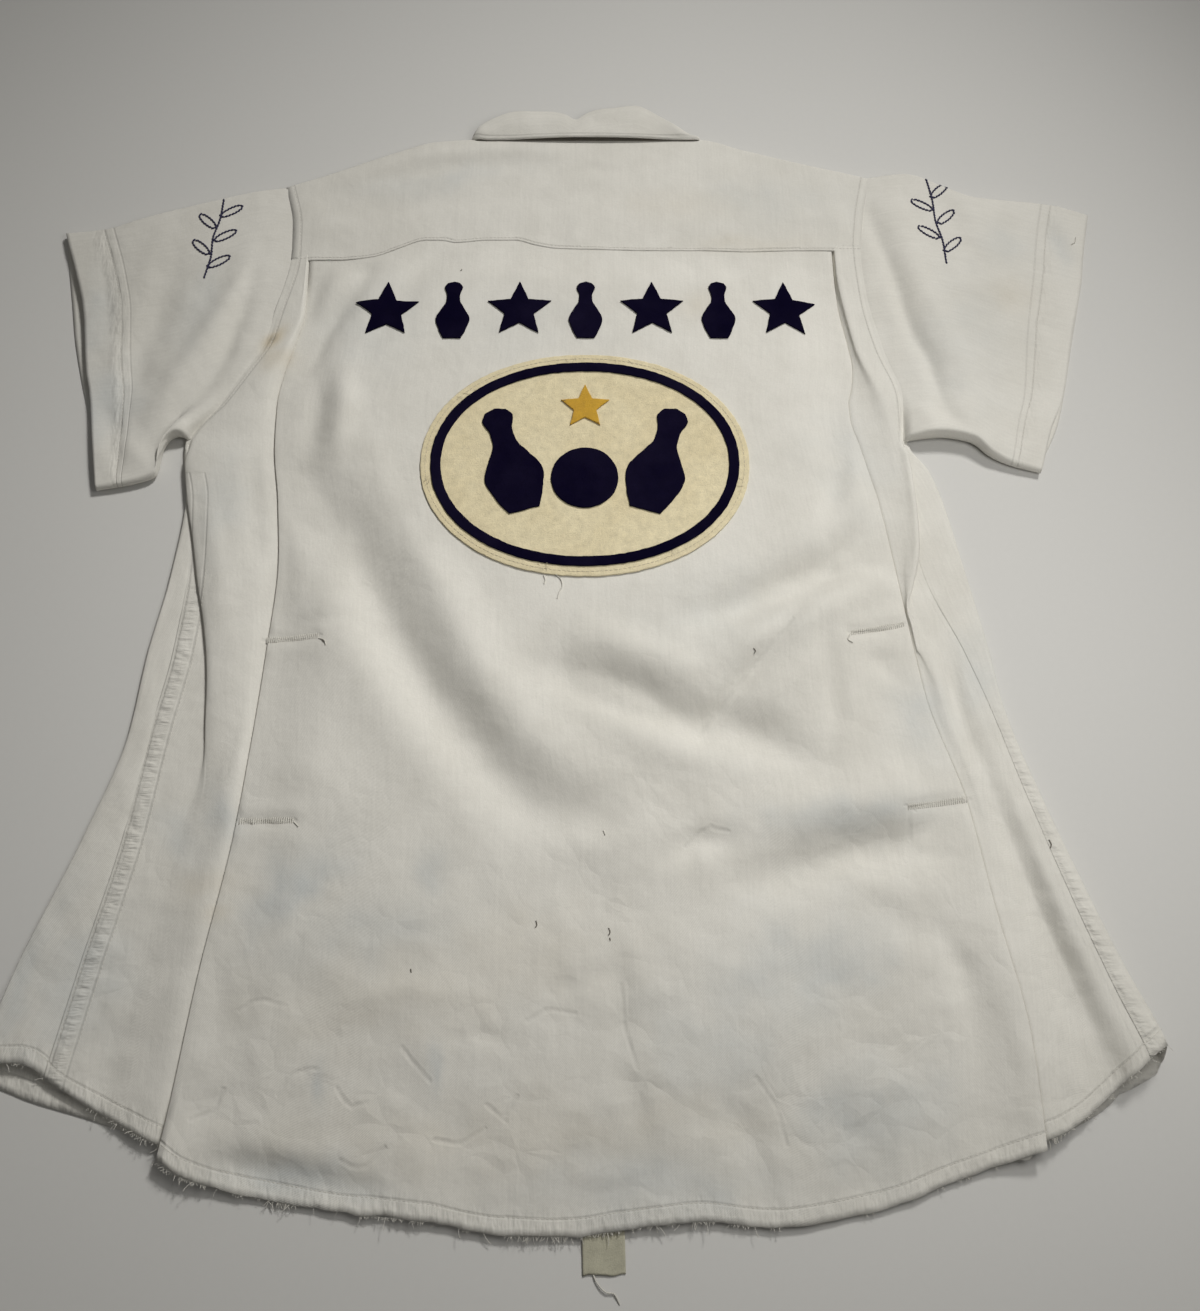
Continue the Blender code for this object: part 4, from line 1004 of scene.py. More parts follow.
def front_sheet(side, yoke, corners):
    """Columns of a front from its free edge round to the side seam, and how many of them lie flat."""
    s = side.inward
    turn_radius = (SEAM_LAYER - FLOOR_LAYER) / 2
    neck = track([row[0] for row in NECKLINE], [row[1] for row in NECKLINE])
    distances = np.concatenate([[-OVERLAP, -10, -5], np.linspace(0, 79, 24)])
    points = [(middle(272) - s * d, float(neck(max(d, 0)))) for d in distances]
    seam = yoke[-1, corners[0] :: -1] if side is LEFT else yoke[-1, corners[1] :]
    points += [(x, y - 0.4) for x, y, _ in seam]
    columns = []

    def free_edge(y):
        return middle(y) + s * OVERLAP

    for top_x, top_y in points:
        share = np.clip((top_x - free_edge(top_y)) / (side.edge(top_y) - free_edge(top_y)), 0, 1)
        y = rows_between(top_y, side.front_hem(share), 30, 100)
        stop = np.where(y < ARMPIT, side.outline(y) + s * turn_radius, side.edge(y))
        x = mix(free_edge(y), stop, share)
        columns.append(np.stack([x, y, FLOOR_LAYER + placket_lift(x, y, side is RIGHT)], -1))
    flat = len(columns)
    for angle in np.linspace(0, np.pi, 10)[1:]:
        risen = (1 - math.cos(angle)) / 2
        y = rows_between(points[-1][1], mix(side.front_hem(1), float(side.hem(side.outline(-290.0))), risen), 30, 100)
        bulge = 1 + 0.8 * smooth_noise(y, 0 * y, 45, 101)
        x = side.outline(y) + s * turn_radius * (1 - math.sin(angle))
        z = FLOOR_LAYER + turn_radius * (1 - math.cos(angle)) * (1 + 0.1 * bulge)
        z = z + side.raised(x, y) * (1 - math.cos(angle)) / 2
        columns.append(np.stack([x, y, z], -1))
    over = side is RIGHT
    for share in np.linspace(0, 1, 18)[1:]:

        def x_at(y, share=share):
            start = side.outline(y) + s * turn_radius
            end = side.edge(y) + s * (SEAM_OVERLAP if over else 1.5)
            return mix(start, np.where(s * (end - start) > 0, end, start), share)

        end = -290.0
        for _ in range(4):
            end = float(side.hem(x_at(end)))
        y = rows_between(points[-1][1], end, 30, 100)
        x = x_at(y)
        start = side.outline(y) + s * turn_radius
        z = SEAM_LAYER + 0.35 * (1 - share**4) + 0.35 * math.sin(math.pi * share) * ease(-y, 200)
        z = z - (0.0 if over else 0.75 * share**6)
        ease_in = ease(np.abs(start - side.edge(y)) - 3, 6) * math.sin(math.pi * min(share, 0.97)) ** 0.5
        if over:
            from_seam = s * (side.edge(y) - x)
            z = z + 0.8 * felled_seam(from_seam, y, 9.5) * ease(-50 - y, 60) * ease_in
        else:
            z = z + crumple(x, y, 110, 1.0) * ease_in * ease(40 - y, 80)
        z = z + side.raised(x, y) + hem_relief(x, y - side.hem(x)) * 0.8 * ease_in
        columns.append(np.stack([x, y, z], -1))
    grid = np.array(columns).transpose(1, 0, 2)
    x, y = grid[..., 0], grid[..., 1]
    hem = y - grid[-1, :, 1]
    strip = np.minimum(s * (side.edge(y) - x) + 3 * SEAM_OVERLAP, SEAM_STRIP)
    strip = np.where((y < 60) & (np.arange(grid.shape[1]) >= flat + 9), strip, SEAM_STRIP)
    felled = strip if over else 0 * y + FAR
    return grid, np.stack([hem, felled, 0 * hem + FAR], -1), flat


def sleeve_plan(side, edges):
    """The sleeve's plan, by the share out from the armhole and the share down from its top fold."""
    top, under = route(edges["top"]), route(edges["under"])
    upper_hem, lower_hem = route(edges["upper_hem"]), route(edges["lower_hem"])
    highest, lowest = edges["top"][0][1], edges["under"][0][1]

    def plan(out, down, is_upper):
        y = mix(highest, lowest, down)
        armhole = np.stack([side.edge(y) + side.inward * SLEEVE_TUCK, y], -1)
        hem = (upper_hem if is_upper else lower_hem)(down)
        out, down = np.asarray(out)[..., None], np.asarray(down)[..., None]
        across = mix(armhole, hem, out)
        along = mix(top(out[..., 0]), under(out[..., 0]), down)
        corners = mix(
            mix(np.array(edges["top"][0]), np.array(edges["top"][-1]), out),
            mix(np.array(edges["under"][0]), np.array(edges["under"][-1]), out),
            down,
        )
        return across + along - corners

    return plan


SLEEVE_TUCK = 2.2
SLEEVE_OUTS = 62
SLEEVE_DOWNS = 64
SLEEVE_HEM = 27


def sleeve_sheet(side, edges, underarm):
    """Rings of the flattened sleeve from the armhole to the hem, the last one closing on the first."""
    plan = sleeve_plan(side, edges)
    length = math.dist(edges["top"][0], edges["top"][-1])
    outs = np.concatenate([[0, 0.008], np.linspace(0.02, 1, SLEEVE_OUTS)])
    fold_height, overhang = pairs(underarm), pairs(OVERHANG)
    rings = []
    for out in outs:
        reach = (1 - out) * length
        downs = np.linspace(0.012, 0.985, SLEEVE_DOWNS)
        xy = plan(np.full_like(downs, out), downs, True)
        x, y = xy[:, 0], xy[:, 1]
        end = float(fold_height(out))
        tuck = mix(0.5, 0.2, ease(y - YOKE_LEVEL, 12))
        level = mix(side.edge_layer(y) - tuck * (1 - ease(out, 0.03)), 7.6, ease(out, 0.17))
        level = mix(level, 5.2, ease(out - 0.55, 0.45))
        level = mix(level, end, ease(downs - 0.8, 0.2) * ease(out, 0.05))
        clear = ease(out, 0.04) * ease(downs, 0.06) * ease(1 - downs, 0.08)
        calm = mix(1, 0.7, ease(out - 0.82, 0.18))
        z = level + (creases(x, y, SLEEVE_CREASES) + crumple(x, y, 120 + (side is LEFT), 0.9)) * clear * calm
        band = SLEEVE_HEM * (1 + 0.04 * smooth_noise(y, 0 * y, 60, 130))
        z = z - 0.7 * np.exp(-(((reach - band) / 1.6) ** 2)) * clear + 0.3 * ease(band - reach, 2.5) * clear
        z = z - 0.35 * np.exp(-(((reach - band - 7) / 1.4) ** 2)) * clear
        upper = np.stack([x, y, np.maximum(z, 3.2)], -1)
        lower_downs = np.linspace(0.985, 0.012, SLEEVE_DOWNS // 2)
        xy = plan(np.full_like(lower_downs, out), lower_downs, False)
        xy[:, 1] += float(overhang(out)) * ease(out, 0.05) * ease(lower_downs - 0.75, 0.25)
        lower = np.concatenate([xy, np.full((len(xy), 1), FLOOR_LAYER + 0.1)], 1)
        under = bend(upper[-1], lower[0], plan(out, 1.0, True), 9)
        over = bend(lower[-1], upper[0], plan(out, 0.0, True), 7)
        rings.append(np.concatenate([upper, under, lower, over]))
    rings = np.array(rings)
    rings = np.concatenate([rings, rings[:, :1]], axis=1)
    reach = np.broadcast_to(((1 - outs) * length)[:, None], rings.shape[:2])
    line = np.where(reach < 60, reach - SLEEVE_HEM - 6.5, FAR)
    return rings, np.stack([reach - SLEEVE_HEM + HEM_BAND, 0 * reach + FAR, line], -1)


def bend(start, end, apex, count):
    """A fold between two layers, which reaches out to the apex in plan."""
    points = []
    for angle in np.linspace(0, np.pi, count + 2)[1:-1]:
        base = mix(start[:2], end[:2], (1 - math.cos(angle)) / 2)
        x, y = mix(base, apex, math.sin(angle) ** 0.8)
        points.append((x, y, mix(end[2], start[2], (1 + math.cos(angle)) / 2)))
    return np.array(points)


def collar_sheet():
    """Sections of the collar along the neck, from the left front round the back to the right one."""
    stations = []
    for side, table in ((LEFT, COLLAR_LEFT), (RIGHT, COLLAR_RIGHT)):
        rows = [list(row) for row in table]
        for distance, y, reach, heading in reversed(NECKLINE):
            x = middle(272) - side.inward * distance
            z = FLOOR_LAYER + placket_lift(x, y, side is RIGHT)
            rows.append([x, y, float(z), reach, heading if side is LEFT else 180 - heading, 1])
        stations.append(rows)
    rows = stations[0][::-1] + stations[1]
    keys, free_edge = [], pairs(COLLAR_GAP)
    for x, y, z, reach, heading, spread in rows:
        radius = 1.7 * min(1, reach / 9)
        gap = float(free_edge(x)) * min(1, reach / 4)
        folded = [(reach * share, 0.3 * math.sin(math.pi * share)) for share in np.linspace(0, 1, 8)]
        folded += [
            (reach + radius * math.sin(angle), radius * (1 - math.cos(angle)))
            for angle in np.linspace(0, np.pi, 9)[1:-1]
        ]
        folded += [
            (reach * (1 - share), mix(2 * radius, gap, share**1.5) + 0.9 * math.sin(math.pi * share))
            for share in np.linspace(0, 1, 10)
        ]
        opened = [(reach * share, 0) for share in np.linspace(0, 1, len(folded))]
        ahead = math.radians(heading)
        row = []
        for (out_a, up_a), (out_b, up_b) in zip(folded, opened):
            out, up = mix(out_a, out_b, spread) + 0.6, mix(up_a, up_b, spread)
            row.append((x + out * math.cos(ahead), y + out * math.sin(ahead), z + up))
        keys.append(row)
    sheet = spline_columns(keys, [3] * (len(keys) - 1))
    x, y = sheet[..., 0], sheet[..., 1]
    sheet[..., 2] += 0.7 * smooth_noise(x, y, 14, 141) * ease(y - 358, 8)
    near = np.full(sheet.shape, FAR)
    near[:, -9:, 2] = y[:, -9:] - y[:, -1:] - 2.6
    # Painted shade: the first columns of the collar's inner layer, seen in the hollow under its free edge, get a brown
    # strength above 1, which darkens them and tints them brown.
    painted_hollow_shade = np.zeros(sheet.shape[:2])
    painted_hollow_shade[:, :8] = 2.1
    return sheet, near, painted_hollow_shade


def cloth_piece(name, grid, near, wall, finish, cut=None, painted_hollow_shade=0.0):
    """A sheet of points as a cloth object. near holds distances to hems and stitches; cut is what is left out; the last
    argument is painted shade, added to the brown channel where the cloth lies in a hollow.
    """
    rows, columns = grid.shape[:2]
    index = np.arange(rows * columns).reshape(rows, columns)
    faces = np.stack([index[:-1, :-1], index[1:, :-1], index[1:, 1:], index[:-1, 1:]], -1)
    if cut is not None:
        faces = faces[~cut[:-1, :-1]]
    faces = faces.reshape(-1, 4)
    steps = np.linalg.norm(np.diff(grid, axis=1), axis=2)
    across = np.concatenate([np.zeros((rows, 1)), np.cumsum(steps, axis=1)], axis=1)
    across = across - across[:, columns // 2][:, None]
    steps = np.linalg.norm(np.diff(grid, axis=0), axis=2)
    along = np.concatenate([np.zeros((1, columns)), np.cumsum(steps, axis=0)], axis=0)
    uv = np.stack([across, along], -1).reshape(-1, 2) * MM
    mesh = bpy.data.meshes.new(name)
    mesh.from_pydata(place(grid.reshape(-1, 3)), [], faces.tolist())
    layer = mesh.uv_layers.new(name="Weave")
    corners = np.zeros(len(mesh.loops), np.int32)
    mesh.loops.foreach_get("vertex_index", corners)
    layer.data.foreach_set("uv", uv[corners].astype(np.float32).ravel())
    if near is not None:
        lines = (*TACKS, TACK_TURN, *CRISP_CREASES) if name == "back_cloth" else ()
        left_of, from_line = line_sides(grid[..., 0], grid[..., 1], lines)
        paint(mesh, "Edges", np.concatenate([near, left_of[..., None]], -1))
        paint_marks(mesh, grid.reshape(-1, 3), from_line.ravel(), np.ravel(painted_hollow_shade))
    body = bmesh.new()
    body.from_mesh(mesh)
    bmesh.ops.delete(body, geom=[v for v in body.verts if not v.link_faces], context="VERTS")
    bmesh.ops.remove_doubles(body, verts=body.verts, dist=2e-5)
    body.to_mesh(mesh)
    body.free()
    piece = bpy.data.objects.new(name, mesh)
    bpy.context.scene.collection.objects.link(piece)
    mesh.materials.append(finish)
    mesh.shade_smooth()
    solidify = piece.modifiers.new("Wall", "SOLIDIFY")
    solidify.offset = 0
    solidify.thickness = wall
    return piece


def paint(mesh, name, values):
    """Four values at each point, as a colour attribute."""
    layer = mesh.color_attributes.new(name=name, type="FLOAT_COLOR", domain="POINT")
    layer.data.foreach_set("color", np.asarray(values).astype(np.float32).ravel())


def spot(x, y, table):
    total = np.zeros(len(x))
    for middle_x, middle_y, half_x, half_y, turn, strength in table:
        c, s = math.cos(math.radians(turn)), math.sin(math.radians(turn))
        dx, dy = x - middle_x, y - middle_y
        dx += 0.3 * half_x * smooth_noise(x, y, 13, 151) + 0.3 * half_x * smooth_noise(x, y, 31, 153)
        dy += 0.3 * half_y * smooth_noise(x, y, 12, 152) + 0.3 * half_y * smooth_noise(x, y, 29, 154)
        u, v = (dx * c + dy * s) / half_x, (dy * c - dx * s) / half_y
        total = np.maximum(total, strength * np.exp(-(u * u + v * v)))
    return total


def paint_marks(mesh, points, from_line, painted_hollow_shade):
    """Where the cloth is bluish or brownish, where painted shade darkens it in a hollow, where its seams are ribbed,
    and how far it is from a crisp line.
    """
    x, y = points[:, 0], points[:, 1]
    ribbed = np.where(x < 0, ease(20 - y, 50), 0.8 * ease(-60 - y, 60))
    brown_stain_and_hollow_shade = spot(x, y, BROWN_MARKS) + painted_hollow_shade
    paint(mesh, "Marks", np.stack([spot(x, y, BLUE_MARKS), brown_stain_and_hollow_shade, ribbed, from_line], -1))


class Wires:
    """Adds the nodes of one tree and joins them."""

    def __init__(self, tree):
        self.tree = tree

    def node(self, kind, inputs=None, **settings):
        node = self.tree.nodes.new(kind)
        for name, value in settings.items():
            setattr(node, name, value)
        for key, value in (inputs or {}).items():
            if isinstance(value, bpy.types.NodeSocket):
                self.tree.links.new(value, node.inputs[key])
            else:
                node.inputs[key].default_value = value
        return node

    def math(self, operation, *values):
        return self.node("ShaderNodeMath", dict(enumerate(values)), operation=operation).outputs[0]

    def blend(self, share, a, b, how="MIX"):
        inputs = {0: share, 6: a, 7: b}
        return self.node("ShaderNodeMix", inputs, data_type="RGBA", blend_type=how).outputs[2]

    def noise(self, place_socket, size, detail=2, stretch=None):
        """Noise with cells of a size in metres."""
        if stretch:
            place_socket = self.node("ShaderNodeMapping", {"Vector": place_socket, "Scale": stretch}).outputs[0]
        inputs = {"Vector": place_socket, "Scale": 1 / size, "Detail": detail}
        return self.node("ShaderNodeTexNoise", inputs).outputs["Fac"]


def shader_group(name, inputs, outputs):
    """An empty shader group with its sockets, and the wires and the two ends to build it with."""
    tree = bpy.data.node_groups.new(name, "ShaderNodeTree")
    for title, kind, value in inputs:
        socket = tree.interface.new_socket(title, in_out="INPUT", socket_type=kind)
        if value is not None:
            socket.default_value = value
    for title, kind in outputs:
        tree.interface.new_socket(title, in_out="OUTPUT", socket_type=kind)
    return tree, Wires(tree), tree.nodes.new("NodeGroupInput"), tree.nodes.new("NodeGroupOutput")


FLOAT, VECTOR, COLOUR = "NodeSocketFloat", "NodeSocketVector", "NodeSocketColor"


def twill_group():
    """Slanting ribs of a fine twill, crossed by its threads and lightly napped."""
    inputs = (("Place", VECTOR, None), ("Rib spacing", FLOAT, 0.0006))
    tree, w, start, end = shader_group("Twill", inputs, (("Height", FLOAT), ("Shade", FLOAT)))
    scale = w.math("DIVIDE", math.pi / 10, start.outputs["Rib spacing"])
    ribs = []
    for turn in (math.radians(58), math.radians(-8)):
        turned = w.node("ShaderNodeMapping", {"Vector": start.outputs["Place"], "Rotation": (0, 0, turn)})
        wave = w.node(
            "ShaderNodeTexWave",
            {"Vector": turned.outputs[0], "Scale": scale, "Distortion": 0.6, "Detail": 1},
            wave_type="BANDS",
            bands_direction="X",
        )
        ribs.append(wave.outputs["Fac"])
    slub = w.noise(start.outputs["Place"], 0.0016, 3, (1, 0.22, 1))
    nap = w.noise(start.outputs["Place"], 0.0011, 4)
    height = w.math("MULTIPLY_ADD", ribs[0], 0.5, w.math("MULTIPLY", ribs[1], 0.2))
    height = w.math("ADD", height, w.math("MULTIPLY", slub, 0.5))
    w.tree.links.new(w.math("ADD", height, w.math("MULTIPLY", nap, 0.7)), end.inputs["Height"])
    shade = w.math("ADD", w.math("MULTIPLY", slub, 0.5), w.math("MULTIPLY", nap, 0.5))
    w.tree.links.new(shade, end.inputs["Shade"])
    return tree


def fibre_group():
    """Matted wool: a tangle of fine fibres over soft lumps."""
    inputs = (("Place", VECTOR, None), ("Fibre", FLOAT, 0.0009))
    tree, w, start, end = shader_group("Felt fibres", inputs, (("Height", FLOAT), ("Shade", FLOAT)))
    scale = w.math("DIVIDE", 1, start.outputs["Fibre"])
    layers = []
    for stretch, detail in (((1, 0.25, 1), 4), ((0.25, 1, 1), 4), ((1, 1, 1), 6)):
        moved = w.node("ShaderNodeMapping", {"Vector": start.outputs["Place"], "Scale": stretch})
        inputs = {"Vector": moved.outputs[0], "Scale": scale, "Detail": detail, "Distortion": 1.2}
        layers.append(w.node("ShaderNodeTexNoise", inputs).outputs["Fac"])
    total = w.math("ADD", w.math("MAXIMUM", layers[0], layers[1]), layers[2])
    lumps = w.noise(start.outputs["Place"], 0.006, 3)
    w.tree.links.new(w.math("ADD", total, lumps), end.inputs["Height"])
    w.tree.links.new(w.math("MULTIPLY", w.math("ADD", total, lumps), 0.42), end.inputs["Shade"])
    return tree


def age_group():
    """How an aged cloth varies in tone over a hand's breadth and over a thumb's."""
    inputs = (("Place", VECTOR, None), ("Colour", COLOUR, None), ("Worn colour", COLOUR, None), ("Strength", FLOAT, 1))
    tree, w, start, end = shader_group("Ageing", inputs, (("Colour", COLOUR), ("Mask", FLOAT)))
    wide = w.noise(start.outputs["Place"], 0.13, 3)
    close = w.noise(start.outputs["Place"], 0.021, 4)
    mask = w.math("ADD", w.math("MULTIPLY", wide, 0.6), w.math("MULTIPLY", close, 0.4))
    mask = w.node(
        "ShaderNodeMapRange", {"Value": mask, "From Min": 0.36, "From Max": 0.66}, interpolation_type="SMOOTHSTEP"
    ).outputs[0]
    share = w.math("MULTIPLY", mask, start.outputs["Strength"])
    colour = w.blend(share, start.outputs["Colour"], start.outputs["Worn colour"])
    w.tree.links.new(colour, end.inputs["Colour"])
    w.tree.links.new(mask, end.inputs["Mask"])
    return tree


def crumple_group():
    """Flat facets with sharp creases between them, as in cloth that has lain folded. The height is in millimetres."""
    inputs = (("Place", VECTOR, None), ("Amount", FLOAT, 1))
    tree, w, start, end = shader_group("Crumple", inputs, (("Height", FLOAT),))
    bend = w.node("ShaderNodeTexNoise", {"Vector": start.outputs["Place"], "Scale": 22, "Detail": 3}).outputs["Color"]
    bend = w.node("ShaderNodeVectorMath", {0: bend, 1: (0.5, 0.5, 0.5)}, operation="SUBTRACT").outputs[0]
    bend = w.node("ShaderNodeVectorMath", {0: bend, "Scale": 0.035}, operation="SCALE").outputs[0]
    bent = w.node("ShaderNodeVectorMath", {0: start.outputs["Place"], 1: bend}, operation="ADD").outputs[0]
    facets = []
    for size, height in ((0.052, 3.2), (0.019, 1.1)):
        inputs = {"Vector": bent, "Scale": 1 / size}
        cells = w.node("ShaderNodeTexVoronoi", inputs, feature="DISTANCE_TO_EDGE").outputs["Distance"]
        patches = w.noise(start.outputs["Place"], size * 2.6, 2)
        patches = w.node("ShaderNodeMapRange", {"Value": patches, "From Min": 0.4, "From Max": 0.62}).outputs[0]
        facets.append(w.math("MULTIPLY", w.math("MULTIPLY", cells, height), patches))
    total = w.math("MULTIPLY", w.math("ADD", *facets), start.outputs["Amount"])
    w.tree.links.new(total, end.inputs["Height"])
    return tree


def stitched_group():
    """The dents of stitches beside hems and seams and of crisp creases, with painted shade along the stitch rows and in
    the creases. Distances and heights are in millimetres.
    """
    inputs = (("Place", VECTOR, None), ("Hem", FLOAT, None), ("Felled seam", FLOAT, None), ("Stitches", FLOAT, None))
    inputs += (("Crease", FLOAT, None), ("From crease", FLOAT, None), ("Ribbed", FLOAT, None))
    inputs += (("Hem band", FLOAT, HEM_BAND), ("Seam band", FLOAT, 11))
    tree, w, start, end = shader_group("Stitched edges", inputs, (("Height", FLOAT), ("Shade", FLOAT)))
    place_socket = start.outputs["Place"]

    def near(distance, reach):
        inputs = {"Value": w.math("ABSOLUTE", distance), "From Max": reach, "To Min": 1, "To Max": 0}
        return w.node("ShaderNodeMapRange", inputs, interpolation_type="SMOOTHSTEP").outputs[0]

    wander = w.math("MULTIPLY_ADD", w.noise(place_socket, 0.03), 2.4, -1.2)
    from_hem = w.math("ADD", w.math("SUBTRACT", start.outputs["Hem"], start.outputs["Hem band"]), wander)
    seam = start.outputs["Felled seam"]
    rows = near(from_hem, 1.3)
    inner = w.math("SUBTRACT", seam, start.outputs["Seam band"])
    for distance in (w.math("SUBTRACT", seam, 0.9), inner, start.outputs["Stitches"]):
        rows = w.math("ADD", rows, near(distance, 1.2))
    ribs = w.math("MULTIPLY_ADD", w.noise(place_socket, 0.0042, 2, (0.3, 1, 1)), 2.4, -1.2)
    ribs = w.math("MULTIPLY", ribs, near(w.math("SUBTRACT", seam, 5.5), 7.5))
    ribs = w.math("MULTIPLY", ribs, start.outputs["Ribbed"])
    puckers = w.math("MULTIPLY_ADD", w.noise(place_socket, 0.0046, 2, (1, 0.35, 1)), 1.5, -0.75)
    puckers = w.math("MULTIPLY", puckers, near(w.math("ADD", from_hem, 3), 11))
    height = w.math("ADD", w.math("MULTIPLY", rows, -0.22), w.math("ADD", ribs, puckers))
    inputs = {"Value": start.outputs["From crease"], "From Min": 2.4, "From Max": 4.2, "To Min": 1, "To Max": 0}
    beside = w.node("ShaderNodeMapRange", inputs, interpolation_type="SMOOTHSTEP").outputs[0]
    creased = w.math("MULTIPLY", w.math("MULTIPLY", near(start.outputs["Crease"], 2.4), beside), w.noise(place_socket, 0.01, 2))
    height = w.math("SUBTRACT", height, w.math("MULTIPLY", creased, 0.5))
    # Painted shade: darker along the stitch rows and in the crisp creases.
    painted_groove_shade = w.math("MULTIPLY", rows, w.noise(place_socket, 0.0022, 1))
    painted_groove_shade = w.math("ADD", painted_groove_shade, w.math("MULTIPLY", creased, 0.4))
    w.tree.links.new(height, end.inputs["Height"])
    w.tree.links.new(painted_groove_shade, end.inputs["Shade"])
    return tree


def shared_group(name, build):
    return bpy.data.node_groups.get(name) or build()


def new_material(name, roughness, sheen=0.0):
    finish = bpy.data.materials.new(name)
    finish.use_nodes = True
    shader = finish.node_tree.nodes["Principled BSDF"]
    shader.inputs["Roughness"].default_value = roughness
    shader.inputs["Sheen Weight"].default_value = sheen
    shader.inputs["Sheen Roughness"].default_value = 0.6
    shader.inputs["Specular IOR Level"].default_value = 0.25
    return finish, shader, Wires(finish.node_tree)


def group_node(w, name, build, inputs):
    node = w.node("ShaderNodeGroup")
    node.node_tree = shared_group(name, build)
    for key, value in inputs.items():
        if isinstance(value, bpy.types.NodeSocket):
            w.tree.links.new(value, node.inputs[key])
        else:
            node.inputs[key].default_value = value
    return node


def rgba(colour, factor=1.0):
    return (colour[0] * factor, colour[1] * factor, colour[2] * factor, 1)


def cloth_material(settings):
    finish, shader, w = new_material("White gabardine", 0.86, 0.1)
    weave = w.node("ShaderNodeUVMap", uv_map="Weave").outputs[0]
    place_socket = w.node("ShaderNodeTexCoord").outputs["Object"]
    marks = w.node("ShaderNodeAttribute", attribute_name="Marks")
    split = w.node("ShaderNodeSeparateColor", {"Color": marks.outputs["Color"]})
    near = w.node("ShaderNodeAttribute", attribute_name="Edges")
    edges = w.node("ShaderNodeSeparateXYZ", {0: near.outputs["Vector"]})
    twill = group_node(w, "Twill", twill_group, {"Place": weave, "Rib spacing": settings.rib_spacing})
    inputs = {"Place": place_socket, "Hem": edges.outputs[0], "Felled seam": edges.outputs[1], "Stitches": edges.outputs[2]}
    inputs |= {"Crease": near.outputs["Alpha"], "From crease": marks.outputs["Alpha"], "Ribbed": split.outputs[2]}
    stitched = group_node(w, "Stitched edges", stitched_group, inputs)
    inputs = {"Place": place_socket, "Colour": rgba(settings.white), "Worn colour": rgba(settings.worn), "Strength": 0.8}
    aged = group_node(w, "Ageing", age_group, inputs)
    colour = aged.outputs["Colour"]
    break_up = w.noise(place_socket, 0.012, 4)
    # The brownish tint also colours the painted shade of the collar's hollow, and one bluish mark is partly painted
    # shade.
    for index, tint, amount in ((0, settings.blue_mark, 0.85), (1, settings.brown_mark, 0.6)):
        strength = w.math("MINIMUM", split.outputs[index], 1.0)
        share = w.math("MULTIPLY", strength, w.math("ADD", 0.45, break_up))
        colour = w.blend(w.math("MULTIPLY", share, amount), colour, rgba(tint))
    streaks = w.noise(weave, 0.0016, 2, (1, 0.03, 1))
    grain = w.noise(weave, 0.0013, 2)
    tone = w.math("ADD", w.math("MULTIPLY", twill.outputs["Shade"], 0.4), w.math("MULTIPLY", streaks, 0.3))
    tone = w.math("ADD", tone, w.math("MULTIPLY", grain, 0.3))
    inputs = {"Value": tone, "From Min": 0.3, "From Max": 0.7, "To Min": 0.9, "To Max": 1.04}
    shade = w.node("ShaderNodeMapRange", inputs).outputs[0]
    # Painted shade along the stitch rows and in the crisp creases.
    shade = w.math("SUBTRACT", shade, w.math("MULTIPLY", stitched.outputs["Shade"], 0.2))
    # Painted shade where the brown strength passes 1: the collar's hollow, and also the darkest brown stain.
    stain_and_painted_shade = w.math("MAXIMUM", w.math("SUBTRACT", split.outputs[1], 1.0), 0.0)
    shade = w.math("MAXIMUM", w.math("SUBTRACT", shade, w.math("MULTIPLY", stain_and_painted_shade, 0.7)), 0.06)
    grey = w.node("ShaderNodeCombineColor", {0: shade, 1: shade, 2: shade})
    colour = w.blend(1.0, colour, grey.outputs[0], "MULTIPLY")
    w.tree.links.new(colour, shader.inputs["Base Color"])
    rough = w.node("ShaderNodeMapRange", {"Value": aged.outputs["Mask"], "To Min": 0.8, "To Max": 0.92})
    w.tree.links.new(rough.outputs[0], shader.inputs["Roughness"])
    low = w.node("ShaderNodeSeparateXYZ", {0: place_socket}).outputs[1]
    inputs = {"Value": low, "From Min": -0.3, "From Max": -0.02, "To Min": 1.0, "To Max": 0.35}
    amount = w.node("ShaderNodeMapRange", inputs).outputs[0]
    crumpled = group_node(w, "Crumple", crumple_group, {"Place": place_socket, "Amount": amount})
    dents = w.math("MULTIPLY", w.noise(place_socket, 0.012, 3), settings.wrinkle_depth / MM)
    relief = w.math("ADD", w.math("ADD", crumpled.outputs[0], dents), stitched.outputs["Height"])
    bump = w.node("ShaderNodeBump", {"Height": relief, "Strength": 1.0, "Distance": MM})
    inputs = {"Height": twill.outputs["Height"], "Strength": 0.7, "Distance": settings.rib_depth, "Normal": bump.outputs[0]}
    w.tree.links.new(w.node("ShaderNodeBump", inputs).outputs[0], shader.inputs["Normal"])
    return finish


